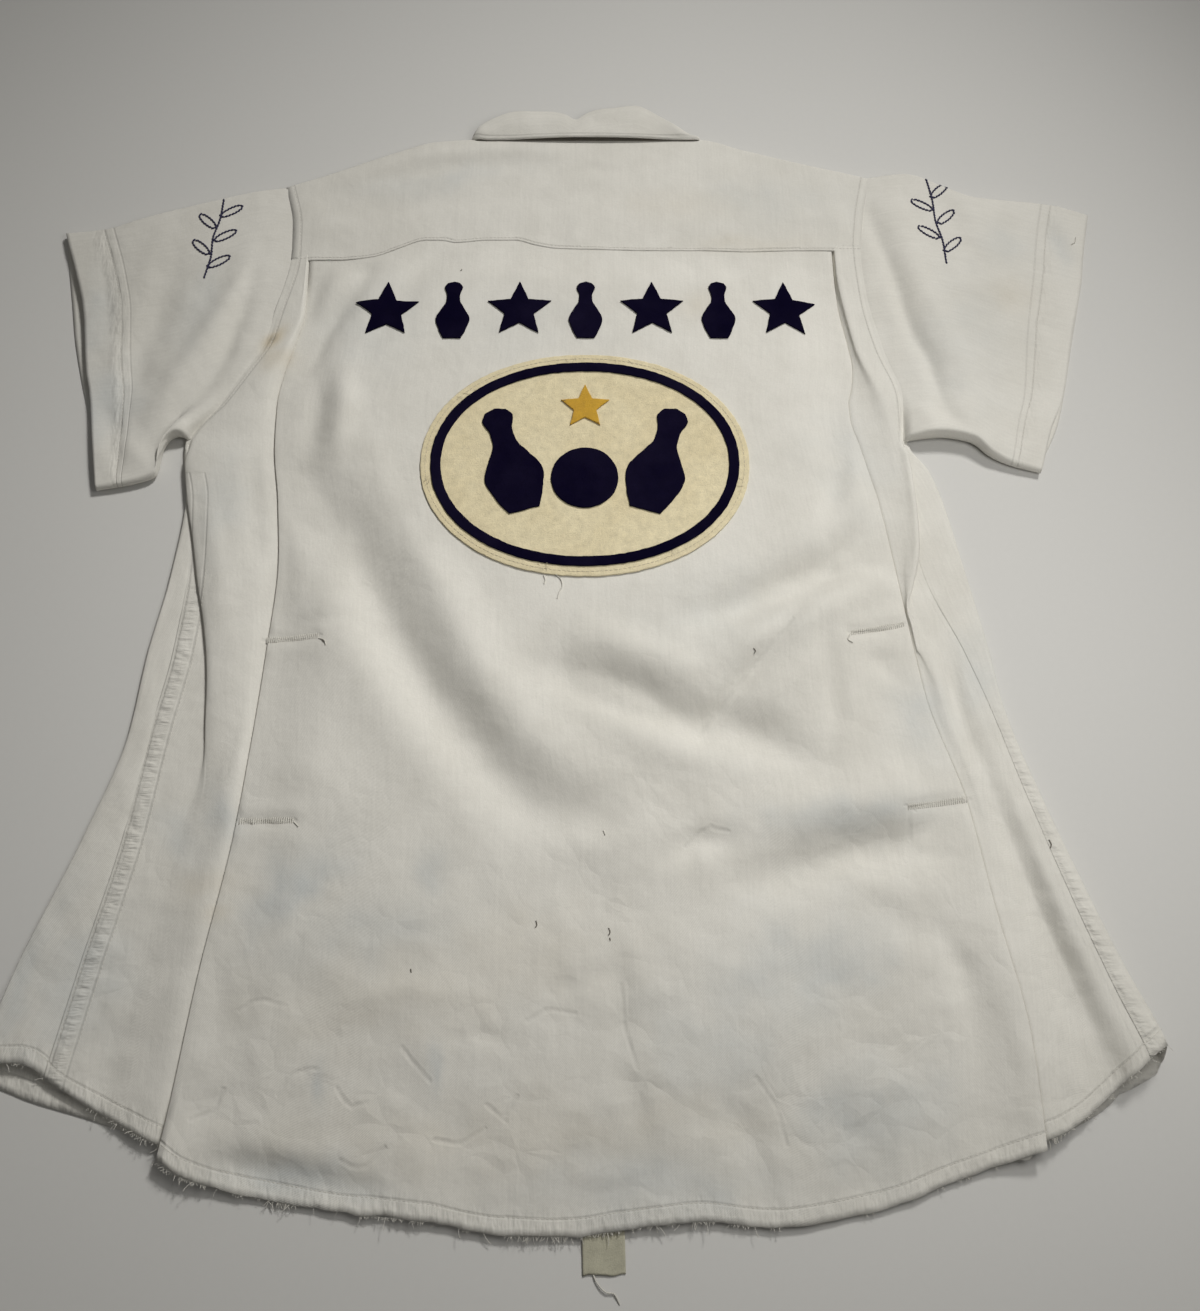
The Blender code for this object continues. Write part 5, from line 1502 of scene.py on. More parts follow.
def felt_material(name, colour, worn, fibre=0.0009, sheen=0.25, depth=0.00035, shine=0.25):
    finish, shader, w = new_material(name, 0.95, sheen)
    shader.inputs["Specular IOR Level"].default_value = shine
    place_socket = w.node("ShaderNodeTexCoord").outputs["Object"]
    fibres = group_node(w, "Felt fibres", fibre_group, {"Place": place_socket, "Fibre": fibre})
    inputs = {"Place": place_socket, "Colour": rgba(colour), "Worn colour": rgba(worn), "Strength": 0.9}
    aged = group_node(w, "Ageing", age_group, inputs)
    shade = w.node("ShaderNodeMapRange", {"Value": fibres.outputs["Shade"], "From Min": 0.45, "From Max": 0.9, "To Min": 0.72, "To Max": 1.1})
    grey = w.node("ShaderNodeCombineColor", {0: shade.outputs[0], 1: shade.outputs[0], 2: shade.outputs[0]})
    w.tree.links.new(w.blend(1.0, aged.outputs["Colour"], grey.outputs[0], "MULTIPLY"), shader.inputs["Base Color"])
    rough = w.node("ShaderNodeMapRange", {"Value": fibres.outputs["Shade"], "To Min": 0.85, "To Max": 1.0})
    w.tree.links.new(rough.outputs[0], shader.inputs["Roughness"])
    bump = w.node("ShaderNodeBump", {"Height": fibres.outputs["Height"], "Strength": 0.8, "Distance": depth})
    w.tree.links.new(bump.outputs[0], shader.inputs["Normal"])
    return finish


def thread_material(name, colour, twist=0.0009):
    finish, shader, w = new_material(name, 0.7, 0.15)
    place_socket = w.node("ShaderNodeTexCoord").outputs["Object"]
    turned = w.node("ShaderNodeMapping", {"Vector": place_socket, "Rotation": (0, 0, 0.9)})
    inputs = {"Vector": turned.outputs[0], "Scale": math.pi / 10 / twist, "Distortion": 2}
    wave = w.node("ShaderNodeTexWave", inputs).outputs["Fac"]
    fuzz = w.noise(place_socket, 0.003, 3)
    share = w.math("MULTIPLY", wave, fuzz)
    w.tree.links.new(w.blend(share, rgba(colour), rgba(colour, 0.72)), shader.inputs["Base Color"])
    w.tree.links.new(w.node("ShaderNodeBump", {"Height": wave, "Strength": 0.5, "Distance": 0.0001}).outputs[0], shader.inputs["Normal"])
    return finish


def pearl_material(colour):
    finish, shader, w = new_material("Pearl", 0.25)
    shader.inputs["Specular IOR Level"].default_value = 0.5
    place_socket = w.node("ShaderNodeTexCoord").outputs["Object"]
    cloud = w.noise(place_socket, 0.004, 3)
    w.tree.links.new(w.blend(cloud, rgba(colour), rgba((colour[0] * 0.9, colour[1] * 0.86, colour[2] * 0.8))), shader.inputs["Base Color"])
    w.tree.links.new(w.node("ShaderNodeMapRange", {"Value": cloud, "To Min": 0.18, "To Max": 0.34}).outputs[0], shader.inputs["Roughness"])
    return finish


def floor_material(colour):
    finish, shader, w = new_material("Pale floor", 0.9)
    place_socket = w.node("ShaderNodeTexCoord").outputs["Object"]
    wide, fine = w.noise(place_socket, 0.35, 2), w.noise(place_socket, 0.004, 3)
    tone = w.math("ADD", w.math("MULTIPLY", wide, 0.5), w.math("MULTIPLY", fine, 0.5))
    w.tree.links.new(w.blend(tone, rgba(colour, 0.97), rgba(colour, 1.03)), shader.inputs["Base Color"])
    w.tree.links.new(w.node("ShaderNodeMapRange", {"Value": fine, "To Min": 0.85, "To Max": 0.95}).outputs[0], shader.inputs["Roughness"])
    return finish


def shared_material(key):
    """The finish of one kind, made the first time that a piece asks for it."""
    cloth, felt = bpy.context.scene.shirt_cloth, bpy.context.scene.shirt_felt
    thread = bpy.context.scene.shirt_thread
    makers = {
        "White gabardine": lambda: cloth_material(cloth),
        "Cream felt": lambda: felt_material("Cream felt", felt.cream, felt.cream_worn),
        "Navy felt": lambda: felt_material("Navy felt", felt.navy, felt.navy_worn, sheen=0.0, shine=0.03),
        "Gold felt": lambda: felt_material("Gold felt", felt.gold, felt.gold_worn),
        "White thread": lambda: thread_material("White thread", thread.white),
        "Navy thread": lambda: thread_material("Navy thread", thread.navy),
        "Cream thread": lambda: thread_material("Cream thread", thread.cream),
        "Grey thread": lambda: thread_material("Grey thread", thread.grey),
        "Label tape": lambda: felt_material("Label tape", cloth.label, cloth.label_worn, 0.0006, 0.05, 0.0002),
        "Pearl": lambda: pearl_material(cloth.pearl),
    }
    return bpy.data.materials.get(key) or makers[key]()


def geometry_tree(name, inputs):
    """A Geometry Nodes tree with its named inputs, and the wires and the two ends to build it with."""
    tree = bpy.data.node_groups.new(name, "GeometryNodeTree")
    tree.interface.new_socket("Geometry", in_out="INPUT", socket_type="NodeSocketGeometry")
    for title, kind in inputs:
        tree.interface.new_socket(title, in_out="INPUT", socket_type=kind)
    tree.interface.new_socket("Geometry", in_out="OUTPUT", socket_type="NodeSocketGeometry")
    return tree, Wires(tree), tree.nodes.new("NodeGroupInput"), tree.nodes.new("NodeGroupOutput")


INTEGER, MATERIAL = "NodeSocketInt", "NodeSocketMaterial"


def finish_tree(w, instances, start, end):
    whole = w.node("GeometryNodeRealizeInstances", {"Geometry": instances})
    smooth = w.node("GeometryNodeSetShadeSmooth", {"Geometry": whole.outputs[0]})
    coated = w.node("GeometryNodeSetMaterial", {"Geometry": smooth.outputs[0], "Material": start.outputs["Material"]})
    w.tree.links.new(coated.outputs[0], end.inputs["Geometry"])


def stitch_tree():
    """Even stitches along every line of the mesh, each one a short plump thread."""
    inputs = (("Pitch", FLOAT), ("Length", FLOAT), ("Thickness", FLOAT), ("Slant", FLOAT), ("Seed", INTEGER))
    tree, w, start, end = geometry_tree("Stitches", (*inputs, ("Material", MATERIAL)))
    line = w.node("GeometryNodeMeshToCurve", {"Mesh": start.outputs["Geometry"]})
    even = w.node("GeometryNodeResampleCurve", {"Curve": line.outputs[0], "Length": start.outputs["Pitch"]}, mode="LENGTH")
    ahead = w.node("GeometryNodeInputTangent").outputs[0]
    facing = w.node("FunctionNodeAlignRotationToVector", {"Vector": ahead}, axis="X").outputs[0]
    wobble = w.node(
        "FunctionNodeRandomValue", {"Min": -0.12, "Max": 0.12, "Seed": start.outputs["Seed"]}, data_type="FLOAT"
    )
    wobble.inputs[2].default_value, wobble.inputs[3].default_value = -0.12, 0.12
    turn = w.math("ADD", start.outputs["Slant"], wobble.outputs[1])
    euler = w.node("ShaderNodeCombineXYZ", {"Z": turn}).outputs[0]
    facing = w.node("FunctionNodeRotateRotation", {"Rotation": facing, "Rotate By": euler}, rotation_space="LOCAL").outputs[0]
    bead = w.node("GeometryNodeMeshUVSphere", {"Segments": 6, "Rings": 5, "Radius": 0.5})
    lying = w.node("GeometryNodeTransform", {"Geometry": bead.outputs[0], "Rotation": (0, math.pi / 2, 0)})
    size = w.node(
        "ShaderNodeCombineXYZ",
        {"X": start.outputs["Length"], "Y": start.outputs["Thickness"], "Z": start.outputs["Thickness"]},
    ).outputs[0]
    placed = w.node(
        "GeometryNodeInstanceOnPoints",
        {"Points": even.outputs[0], "Instance": lying.outputs[0], "Rotation": facing, "Scale": size},
    )
    finish_tree(w, placed.outputs[0], start, end)
    return tree


def fringe_tree():
    """Loose thread ends that stand out to the right of every line of the mesh."""
    inputs = (("Spacing", FLOAT), ("Length", FLOAT), ("Thickness", FLOAT), ("Spread", FLOAT), ("Seed", INTEGER))
    tree, w, start, end = geometry_tree("Fringe", (*inputs, ("Material", MATERIAL)))
    line = w.node("GeometryNodeMeshToCurve", {"Mesh": start.outputs["Geometry"]})
    even = w.node("GeometryNodeResampleCurve", {"Curve": line.outputs[0], "Length": start.outputs["Spacing"]}, mode="LENGTH")
    ahead = w.node("GeometryNodeInputTangent").outputs[0]
    aside = w.node("ShaderNodeVectorMath", {0: ahead, 1: (0, 0, 1)}, operation="CROSS_PRODUCT").outputs[0]
    facing = w.node("FunctionNodeAlignRotationToVector", {"Vector": aside}, axis="X").outputs[0]
    spread = start.outputs["Spread"]
    angles = []
    for shift in (0, 1, 2):
        seed = w.math("ADD", start.outputs["Seed"], shift)
        angle = w.node("FunctionNodeRandomValue", {2: w.math("MULTIPLY", spread, -1), 3: spread, "Seed": seed}, data_type="FLOAT")
        angles.append(angle.outputs[1])
    euler = w.node("ShaderNodeCombineXYZ", {"X": w.math("MULTIPLY", angles[0], 4), "Y": w.math("MULTIPLY", angles[1], 0.3), "Z": angles[2]})
    facing = w.node("FunctionNodeRotateRotation", {"Rotation": facing, "Rotate By": euler.outputs[0]}, rotation_space="LOCAL").outputs[0]
    wisp = w.node("GeometryNodeCurveQuadraticBezier", {"Resolution": 4, "Start": (0, 0, 0), "Middle": (0.5, 0.22, 0.05), "End": (1, 0.05, 0.0)})
    thin = w.math("DIVIDE", start.outputs["Thickness"], start.outputs["Length"])
    ring = w.node("GeometryNodeCurvePrimitiveCircle", {"Resolution": 4, "Radius": w.math("MULTIPLY", thin, 0.5)})
    tube = w.node("GeometryNodeCurveToMesh", {"Curve": wisp.outputs[0], "Profile Curve": ring.outputs[0], "Fill Caps": True})
    seed = w.math("ADD", start.outputs["Seed"], 7)
    reach = w.node("FunctionNodeRandomValue", {2: 0.35, 3: 1.0, "Seed": seed}, data_type="FLOAT").outputs[1]
    reach = w.math("MULTIPLY", reach, start.outputs["Length"])
    inputs = {"Points": even.outputs[0], "Instance": tube.outputs[0], "Rotation": facing, "Scale": w.node("ShaderNodeCombineXYZ", {"X": reach, "Y": reach, "Z": reach}).outputs[0]}
    placed = w.node("GeometryNodeInstanceOnPoints", inputs)
    finish_tree(w, placed.outputs[0], start, end)
    return tree


def yarn_tree():
    """A round thread along every line of the mesh."""
    inputs = (("Thickness", FLOAT), ("Step", FLOAT))
    tree, w, start, end = geometry_tree("Loose thread", (*inputs, ("Material", MATERIAL)))
    line = w.node("GeometryNodeMeshToCurve", {"Mesh": start.outputs["Geometry"]})
    even = w.node("GeometryNodeResampleCurve", {"Curve": line.outputs[0], "Length": start.outputs["Step"]}, mode="LENGTH")
    ring = w.node("GeometryNodeCurvePrimitiveCircle", {"Resolution": 6, "Radius": w.math("MULTIPLY", start.outputs["Thickness"], 0.5)})
    tube = w.node("GeometryNodeCurveToMesh", {"Curve": even.outputs[0], "Profile Curve": ring.outputs[0], "Fill Caps": True})
    finish_tree(w, tube.outputs[0], start, end)
    return tree


TREES = {"Stitches": stitch_tree, "Fringe": fringe_tree, "Loose thread": yarn_tree}


def along_lines(name, lines, tree_name, finish, **values):
    """A piece made by one of the trees along polylines of points in millimetres."""
    points, edges = [], []
    for line in lines:
        edges += [(len(points) + i, len(points) + i + 1) for i in range(len(line) - 1)]
        points += [tuple(p) for p in place(line)]
    mesh = bpy.data.meshes.new(name + " lines")
    mesh.from_pydata(points, edges, [])
    guide = bpy.data.objects.new(name + " lines", mesh)
    bpy.context.scene.collection.objects.link(guide)
    tree = bpy.data.node_groups.get(tree_name) or TREES[tree_name]()
    modifier = guide.modifiers.new(tree_name, "NODES")
    modifier.node_group = tree
    for socket in tree.interface.items_tree:
        if socket.in_out == "INPUT" and socket.name != "Geometry":
            modifier[socket.identifier] = finish if socket.name == "Material" else values[socket.name.lower()]
    evaluated = guide.evaluated_get(bpy.context.evaluated_depsgraph_get())
    made = bpy.data.meshes.new_from_object(evaluated)
    guide.modifiers.remove(modifier)
    bpy.data.objects.remove(guide)
    bpy.data.meshes.remove(mesh)
    made.name = name
    if not made.polygons:
        raise RuntimeError(f"{name} came out empty")
    piece = bpy.data.objects.new(name, made)
    bpy.context.scene.collection.objects.link(piece)
    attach(piece, ROOT)
    return piece


def oval(inset, points=220):
    turns = np.linspace(0, 2 * np.pi, points, endpoint=False)
    c, s = np.cos(turns), np.sin(turns)
    x = np.sign(c) * np.abs(c) ** (2 / PATCH_SQUARENESS) * (PATCH_HALF[0] - inset)
    y = np.sign(s) * np.abs(s) ** (2 / PATCH_SQUARENESS) * (PATCH_HALF[1] - inset)
    return np.stack([PATCH_MIDDLE[0] + x, PATCH_MIDDLE[1] + y], -1)


def star(middle_x, middle_y, radius):
    turns = np.radians(90 + 36 * np.arange(10))
    reach = radius * np.where(np.arange(10) % 2, STAR_WAIST, 1)
    return np.stack([middle_x + reach * np.cos(turns), middle_y + reach * np.sin(turns)], -1)


def bowling_pin(middle_x, middle_y, height, lean=0):
    half = pairs(PIN_PROFILE)
    shares = np.linspace(0, 0.97, 30)
    right = [(half(s) * height, (s - 0.5) * height) for s in shares]
    outline = np.array(right + [(0, 0.5 * height)] + [(-x, y) for x, y in reversed(right)])
    c, s = math.cos(math.radians(lean)), math.sin(math.radians(lean))
    return outline @ np.array([[c, s], [-s, c]]) + (middle_x, middle_y)


def disc(middle_x, middle_y, radius, points=72):
    turns = np.linspace(0, 2 * np.pi, points, endpoint=False)
    return np.stack([middle_x + radius * np.cos(turns), middle_y + radius * np.sin(turns)], -1)


def even_outline(outline, spacing):
    """The same closed outline with points a spacing apart, corners kept."""
    closed = np.concatenate([outline, outline[:1]])
    points = []
    for a, b in zip(closed, closed[1:]):
        count = max(1, round(math.dist(a, b) / spacing))
        points += [mix(a, b, i / count) for i in range(count)]
    return np.array(points)


def inset_outline(outline, inset):
    """The outline moved inwards by the inset, without its corners crossing."""
    ahead, behind = np.roll(outline, -1, axis=0) - outline, outline - np.roll(outline, 1, axis=0)
    normal = []
    for edge in (behind, ahead):
        edge = edge / np.maximum(np.linalg.norm(edge, axis=1), 1e-9)[:, None]
        normal.append(np.stack([-edge[:, 1], edge[:, 0]], -1))
    total = normal[0] + normal[1]
    total = total / np.maximum(np.linalg.norm(total, axis=1), 0.7)[:, None]
    return outline + total * np.reshape(inset, (-1, 1))


def inside(points, outline):
    """Which points lie within a closed outline."""
    x, y = points[:, 0], points[:, 1]
    within = np.zeros(len(points), bool)
    for (x0, y0), (x1, y1) in zip(outline, np.roll(outline, -1, axis=0)):
        crosses = (y0 > y) != (y1 > y)
        rise = y1 - y0 if y1 != y0 else 1e-9
        within ^= crosses & (x < x0 + (y - y0) / rise * (x1 - x0))
    return within


FELT_EDGE = ((0, 0), (-0.15, 0.35), (-0.1, 0.75), (0.25, 0.96), (0.7, 1.0))


def felt_mesh(name, outlines, under, thickness, spacing=1.6, seed=1):
    """Cut felt with a soft edge: the first outline is its edge, and a second one is a hole."""
    from mathutils import Vector
    from mathutils.geometry import delaunay_2d_cdt

    body = bmesh.new()
    rings = []
    for k, outline in enumerate(outlines):
        points = even_outline(outline, spacing)
        area = np.cross(points, np.roll(points, -1, axis=0)).sum()
        if (area < 0) != (k > 0):
            points = points[::-1]
        fray = 0.22 * smooth_noise(points[:, 0], points[:, 1], 3.1, seed)
        loops = []
        for inset, height in FELT_EDGE:
            ring = inset_outline(points, inset + fray)
            z = under(ring[:, 0], ring[:, 1]) + thickness * height
            loops.append([body.verts.new(p) for p in place(np.column_stack([ring, z]))])
        count = len(points)
        for low, high in zip(loops, loops[1:]):
            for i in range(count):
                j = (i + 1) % count
                body.faces.new((low[i], low[j], high[j], high[i]))
        rings.append((inset_outline(points, FELT_EDGE[-1][0] + fray), loops[-1], inset_outline(points, fray), loops[0]))
    for which, is_top in ((0, True), (2, False)):
        flat, edges, verts = [], [], []
        for ring in rings:
            first = len(flat)
            flat += list(ring[which])
            verts += ring[which + 1]
            edges += [(first + i, first + (i + 1) % len(ring[which])) for i in range(len(ring[which]))]
        boundary = len(flat)
        outer = rings[0][which]
        low, high = outer.min(0), outer.max(0)
        step = spacing * 1.5
        grid = np.array([(x, y) for x in np.arange(low[0], high[0], step) for y in np.arange(low[1], high[1], step)])
        if is_top and len(grid):
            keep = inside(grid, inset_outline(outer, 0.5 * step))
            for ring in rings[1:]:
                keep &= ~inside(grid, inset_outline(ring[which], 0.5 * step))
            flat += list(grid[keep])
        made = delaunay_2d_cdt([Vector(p) for p in flat], edges, [], 0, 1e-6)
        points = np.array([tuple(v) for v in made[0]])
        heights = under(points[:, 0], points[:, 1]) + (thickness if is_top else 0)
        heights = heights + 0.12 * smooth_noise(points[:, 0], points[:, 1], 5, seed + 1) * is_top
        lookup = []
        for i, origins in enumerate(made[3]):
            known = [o for o in origins if o < boundary]
            if known:
                lookup.append(verts[known[0]])
            else:
                lookup.append(body.verts.new(place((*points[i], heights[i]))))
        middles = np.array([points[list(face)].mean(0) for face in made[2]])
        keep = inside(middles, outer)
        for ring in rings[1:]:
            keep &= ~inside(middles, ring[which])
        for face, wanted in zip(made[2], keep):
            corners = [lookup[i] for i in face]
            if wanted and len(set(corners)) == 3:
                body.faces.new(corners if is_top else corners[::-1])
    mesh = bpy.data.meshes.new(name)
    bmesh.ops.remove_doubles(body, verts=body.verts, dist=1e-6)
    bmesh.ops.recalc_face_normals(body, faces=body.faces)
    body.to_mesh(mesh)
    body.free()
    mesh.shade_smooth()
    piece = bpy.data.objects.new(name, mesh)
    bpy.context.scene.collection.objects.link(piece)
    return piece


def surface_tops(names):
    """A function that gives the height in millimetres of the highest of the pieces at places on the plan."""
    from mathutils import Vector
    from mathutils.bvhtree import BVHTree

    depsgraph = bpy.context.evaluated_depsgraph_get()
    trees = [BVHTree.FromObject(bpy.data.objects[name], depsgraph) for name in names]

    def top(x, y):
        x, y = np.broadcast_arrays(np.asarray(x, float), np.asarray(y, float))
        heights = np.full(x.shape, np.nan)
        for i in np.ndindex(x.shape):
            start = Vector(place((x[i], y[i], 60)))
            found = [tree.ray_cast(start, Vector((0, 0, -1)))[0] for tree in trees]
            found = [hit.z / MM for hit in found if hit is not None]
            if found:
                heights[i] = max(found)
        return heights

    return top


def laid_line(points, top, lift, spacing=1.5):
    """A polyline on top of the pieces, which follows the plan's points. Places with nothing under them go."""
    path = route(points)
    count = max(4, round(sum(math.dist(a, b) for a, b in zip(points, points[1:])) / spacing))
    xy = path(np.linspace(0, 1, count))
    z = top(xy[:, 0], xy[:, 1])
    keep = ~np.isnan(z)
    return np.column_stack([xy[keep], z[keep] + lift])


def dress(piece, finish, slot, *nodes):
    """Gives a piece its finish and its body, and hides the nodes of the solid model that it stands for. slot is not
    used.
    """
    if finish is not None and not piece.data.materials:
        piece.data.materials.append(finish)
    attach(piece, ROOT)
    if nodes:
        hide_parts(*nodes)
    return piece


def colour_property(name, description, default):
    return FloatVectorProperty(
        name=name, description=description, default=default, subtype="COLOR", size=3, min=0, max=1
    )


class ShirtCloth(PropertyGroup):
    """Sizes and colours of the shirt's white cloth, its label and its buttons."""

    wall: FloatProperty(
        name="Wall", description="Thickness of one layer of cloth", default=0.0007, min=0.0003, max=0.003, unit="LENGTH"
    )
    rib_spacing: FloatProperty(
        name="Rib spacing", description="Distance between the ribs of the twill", default=0.0007, unit="LENGTH"
    )
    rib_depth: FloatProperty(name="Rib depth", description="Depth of the twill", default=0.00012, unit="LENGTH")
    wrinkle_depth: FloatProperty(
        name="Wrinkle depth", description="Depth of the finest dents in the cloth", default=0.0005, unit="LENGTH"
    )
    white: colour_property("White", "The cloth where it has kept its colour", (0.70, 0.68, 0.62))
    worn: colour_property("Worn", "The cloth where it has greyed with age", (0.63, 0.61, 0.55))
    # This bluish grey is mostly stain, and in one mark below the lower left trough it is partly painted shade.
    blue_mark: colour_property("Bluish mark", "Old dye that has run into the cloth", (0.52, 0.54, 0.53))
    # This brownish tint also colours the painted shade in the collar's hollow.
    brown_mark: colour_property("Brownish mark", "Old stains", (0.53, 0.44, 0.29))
    label: colour_property("Label", "The blank label's tape", (0.52, 0.50, 0.38))
    label_worn: colour_property("Worn label", "The label's tape where it has greyed", (0.40, 0.38, 0.29))
    pearl: colour_property("Pearl", "The buttons", (0.8, 0.78, 0.72))


class ShirtFelt(PropertyGroup):
    """Sizes and colours of the felt that is sewn on."""

    wall: FloatProperty(name="Felt", description="Thickness of one layer of felt", default=0.0012, unit="LENGTH")
    cream: colour_property("Cream", "The patch's felt", (0.78, 0.69, 0.46))
    cream_worn: colour_property("Worn cream", "The patch's felt where it has yellowed", (0.72, 0.62, 0.39))
    navy: colour_property("Navy", "The dark felt", (0.0026, 0.0016, 0.012))
    navy_worn: colour_property("Worn navy", "The dark felt where it has faded", (0.008, 0.006, 0.020))
    gold: colour_property("Gold", "The gold felt", (0.62, 0.36, 0.02))
    gold_worn: colour_property("Worn gold", "The gold felt where it has browned", (0.5, 0.27, 0.02))


class ShirtThread(PropertyGroup):
    """Sizes and colours of the stitches."""

    pitch: FloatProperty(name="Pitch", description="From one stitch to the next", default=0.0026, unit="LENGTH")
    length: FloatProperty(name="Length", description="Length of one stitch", default=0.0022, unit="LENGTH")
    thickness: FloatProperty(name="Thickness", description="Thickness of the thread", default=0.0005, unit="LENGTH")
    seed: IntProperty(name="Seed", description="Seed of the stitches' unevenness", default=11)
    white: colour_property("White", "Thread of the seams", (0.60, 0.58, 0.52))
    navy: colour_property("Navy", "Thread of the sleeves' motifs", (0.012, 0.01, 0.05))
    cream: colour_property("Cream", "Thread of the patch", (0.6, 0.53, 0.38))
    grey: colour_property("Grey", "Old snagged threads", (0.16, 0.145, 0.12))


class ShirtStage(PropertyGroup):
    """The floor, the lights and the camera."""

    floor: colour_property("Floor", "Colour of the floor", (0.60, 0.592, 0.565))
    key_power: FloatProperty(name="Key", description="Power of the large soft lamp", default=2.75, unit="POWER")
    key_size: FloatProperty(name="Key size", description="Width of the large lamp", default=0.25, unit="LENGTH")
    key_spread: FloatProperty(
        name="Key spread", description="Angle that the large lamp's light fills", default=math.radians(66), subtype="ANGLE"
    )
    fill_power: FloatProperty(name="Fill", description="Power of the small lamp overhead", default=1.32, unit="POWER")
    fill_size: FloatProperty(name="Fill size", description="Width of the small lamp", default=0.3, unit="LENGTH")
    room: FloatProperty(name="Room", description="Brightness of the light from all round", default=0.13)
    camera_height: FloatProperty(
        name="Camera height", description="Height of the camera over the floor", default=0.715, unit="LENGTH"
    )
    camera_tilt: FloatProperty(
        name="Camera tilt", description="How far the camera looks below level", default=math.radians(70.5), subtype="ANGLE"
    )


class ShirtOperator:
    """What every step of making the shirt has in common."""

    bl_options = {"REGISTER", "UNDO"}

    def execute(self, context):
        self.make(context.scene)
        return {"FINISHED"}


CLOTH_SLOT = "white_cloth"


def cloth_wall(scene):
    return scene.shirt_cloth.wall


class SHIRT_OT_back(ShirtOperator, Operator):
    """Make the back below the yoke with its two deep pleats"""

    bl_idname = "shirt.back"
    bl_label = "Back"

    def make(self, scene):
        piece = cloth_piece("back_cloth", *back_sheet(), cloth_wall(scene), shared_material("White gabardine"))
        dress(piece, None, CLOTH_SLOT, "back")


class SHIRT_OT_yoke(ShirtOperator, Operator):
    """Make the yoke over the shoulders"""

    bl_idname = "shirt.yoke"
    bl_label = "Yoke"

    def make(self, scene):
        grid, near, corners, over = yoke_sheet()
        cut = np.zeros(grid.shape[:2], bool)
        cut[over + 11 :, corners[0] : corners[1]] = True
        piece = cloth_piece("yoke_cloth", grid, near, cloth_wall(scene), shared_material("White gabardine"), cut)
        dress(piece, None, CLOTH_SLOT, "yoke")


class SHIRT_OT_fronts(ShirtOperator, Operator):
    """Make the two fronts, which lie under the back"""

    bl_idname = "shirt.fronts"
    bl_label = "Fronts"

    def make(self, scene):
        yoke, _, corners, _ = yoke_sheet()
        for side in (LEFT, RIGHT):
            grid, near, flat = front_sheet(side, yoke, corners)
            cut = np.zeros(grid.shape[:2], bool)
            cut[:29, flat - 1 :] = True
            name = f"front_{side.name}_cloth"
            piece = cloth_piece(name, grid, near, cloth_wall(scene), shared_material("White gabardine"), cut)
            dress(piece, None, CLOTH_SLOT, f"front_{side.name}")


class SHIRT_OT_sleeves(ShirtOperator, Operator):
    """Make the two short sleeves"""

    bl_idname = "shirt.sleeves"
    bl_label = "Sleeves"

    def make(self, scene):
        for side, edges, underarm in ((LEFT, LEFT_SLEEVE, LEFT_UNDERARM), (RIGHT, RIGHT_SLEEVE, RIGHT_UNDERARM)):
            grid, near = sleeve_sheet(side, edges, underarm)
            if side is RIGHT:
                grid, near = grid[:, ::-1], near[:, ::-1]
            name = f"sleeve_{side.name}_cloth"
            piece = cloth_piece(name, grid, near, cloth_wall(scene), shared_material("White gabardine"))
            dress(piece, None, CLOTH_SLOT, f"sleeve_{side.name}")


class SHIRT_OT_collar(ShirtOperator, Operator):
    """Make the small collar, folded outwards round the back of the neck"""

    bl_idname = "shirt.collar"
    bl_label = "Collar"

    def make(self, scene):
        grid, near, painted_hollow_shade = collar_sheet()
        finish = shared_material("White gabardine")
        piece = cloth_piece("collar_cloth", grid, near, cloth_wall(scene), finish, painted_hollow_shade=painted_hollow_shade)
        dress(piece, None, CLOTH_SLOT, "collar")


class SHIRT_OT_buttons(ShirtOperator, Operator):
    """Give the buttons their pearl finish"""

    bl_idname = "shirt.buttons"
    bl_label = "Buttons"

    def make(self, scene):
        for i in range(5):
            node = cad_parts[f"button_{i + 1}"]
            for slot in node.material_slots:
                slot.material = shared_material("Pearl")
            if not node.material_slots:
                raise RuntimeError(f"{node.name} has no material slot")


def felt_under(layer):
    """The height of the underside of felt that is this far above the middle of the back's wall."""

    def under(x, y):
        return centre_height(x, y) + pleat_ridges(x, y) + layer + 0.05 * smooth_noise(x, y, 17, 202)

    return under


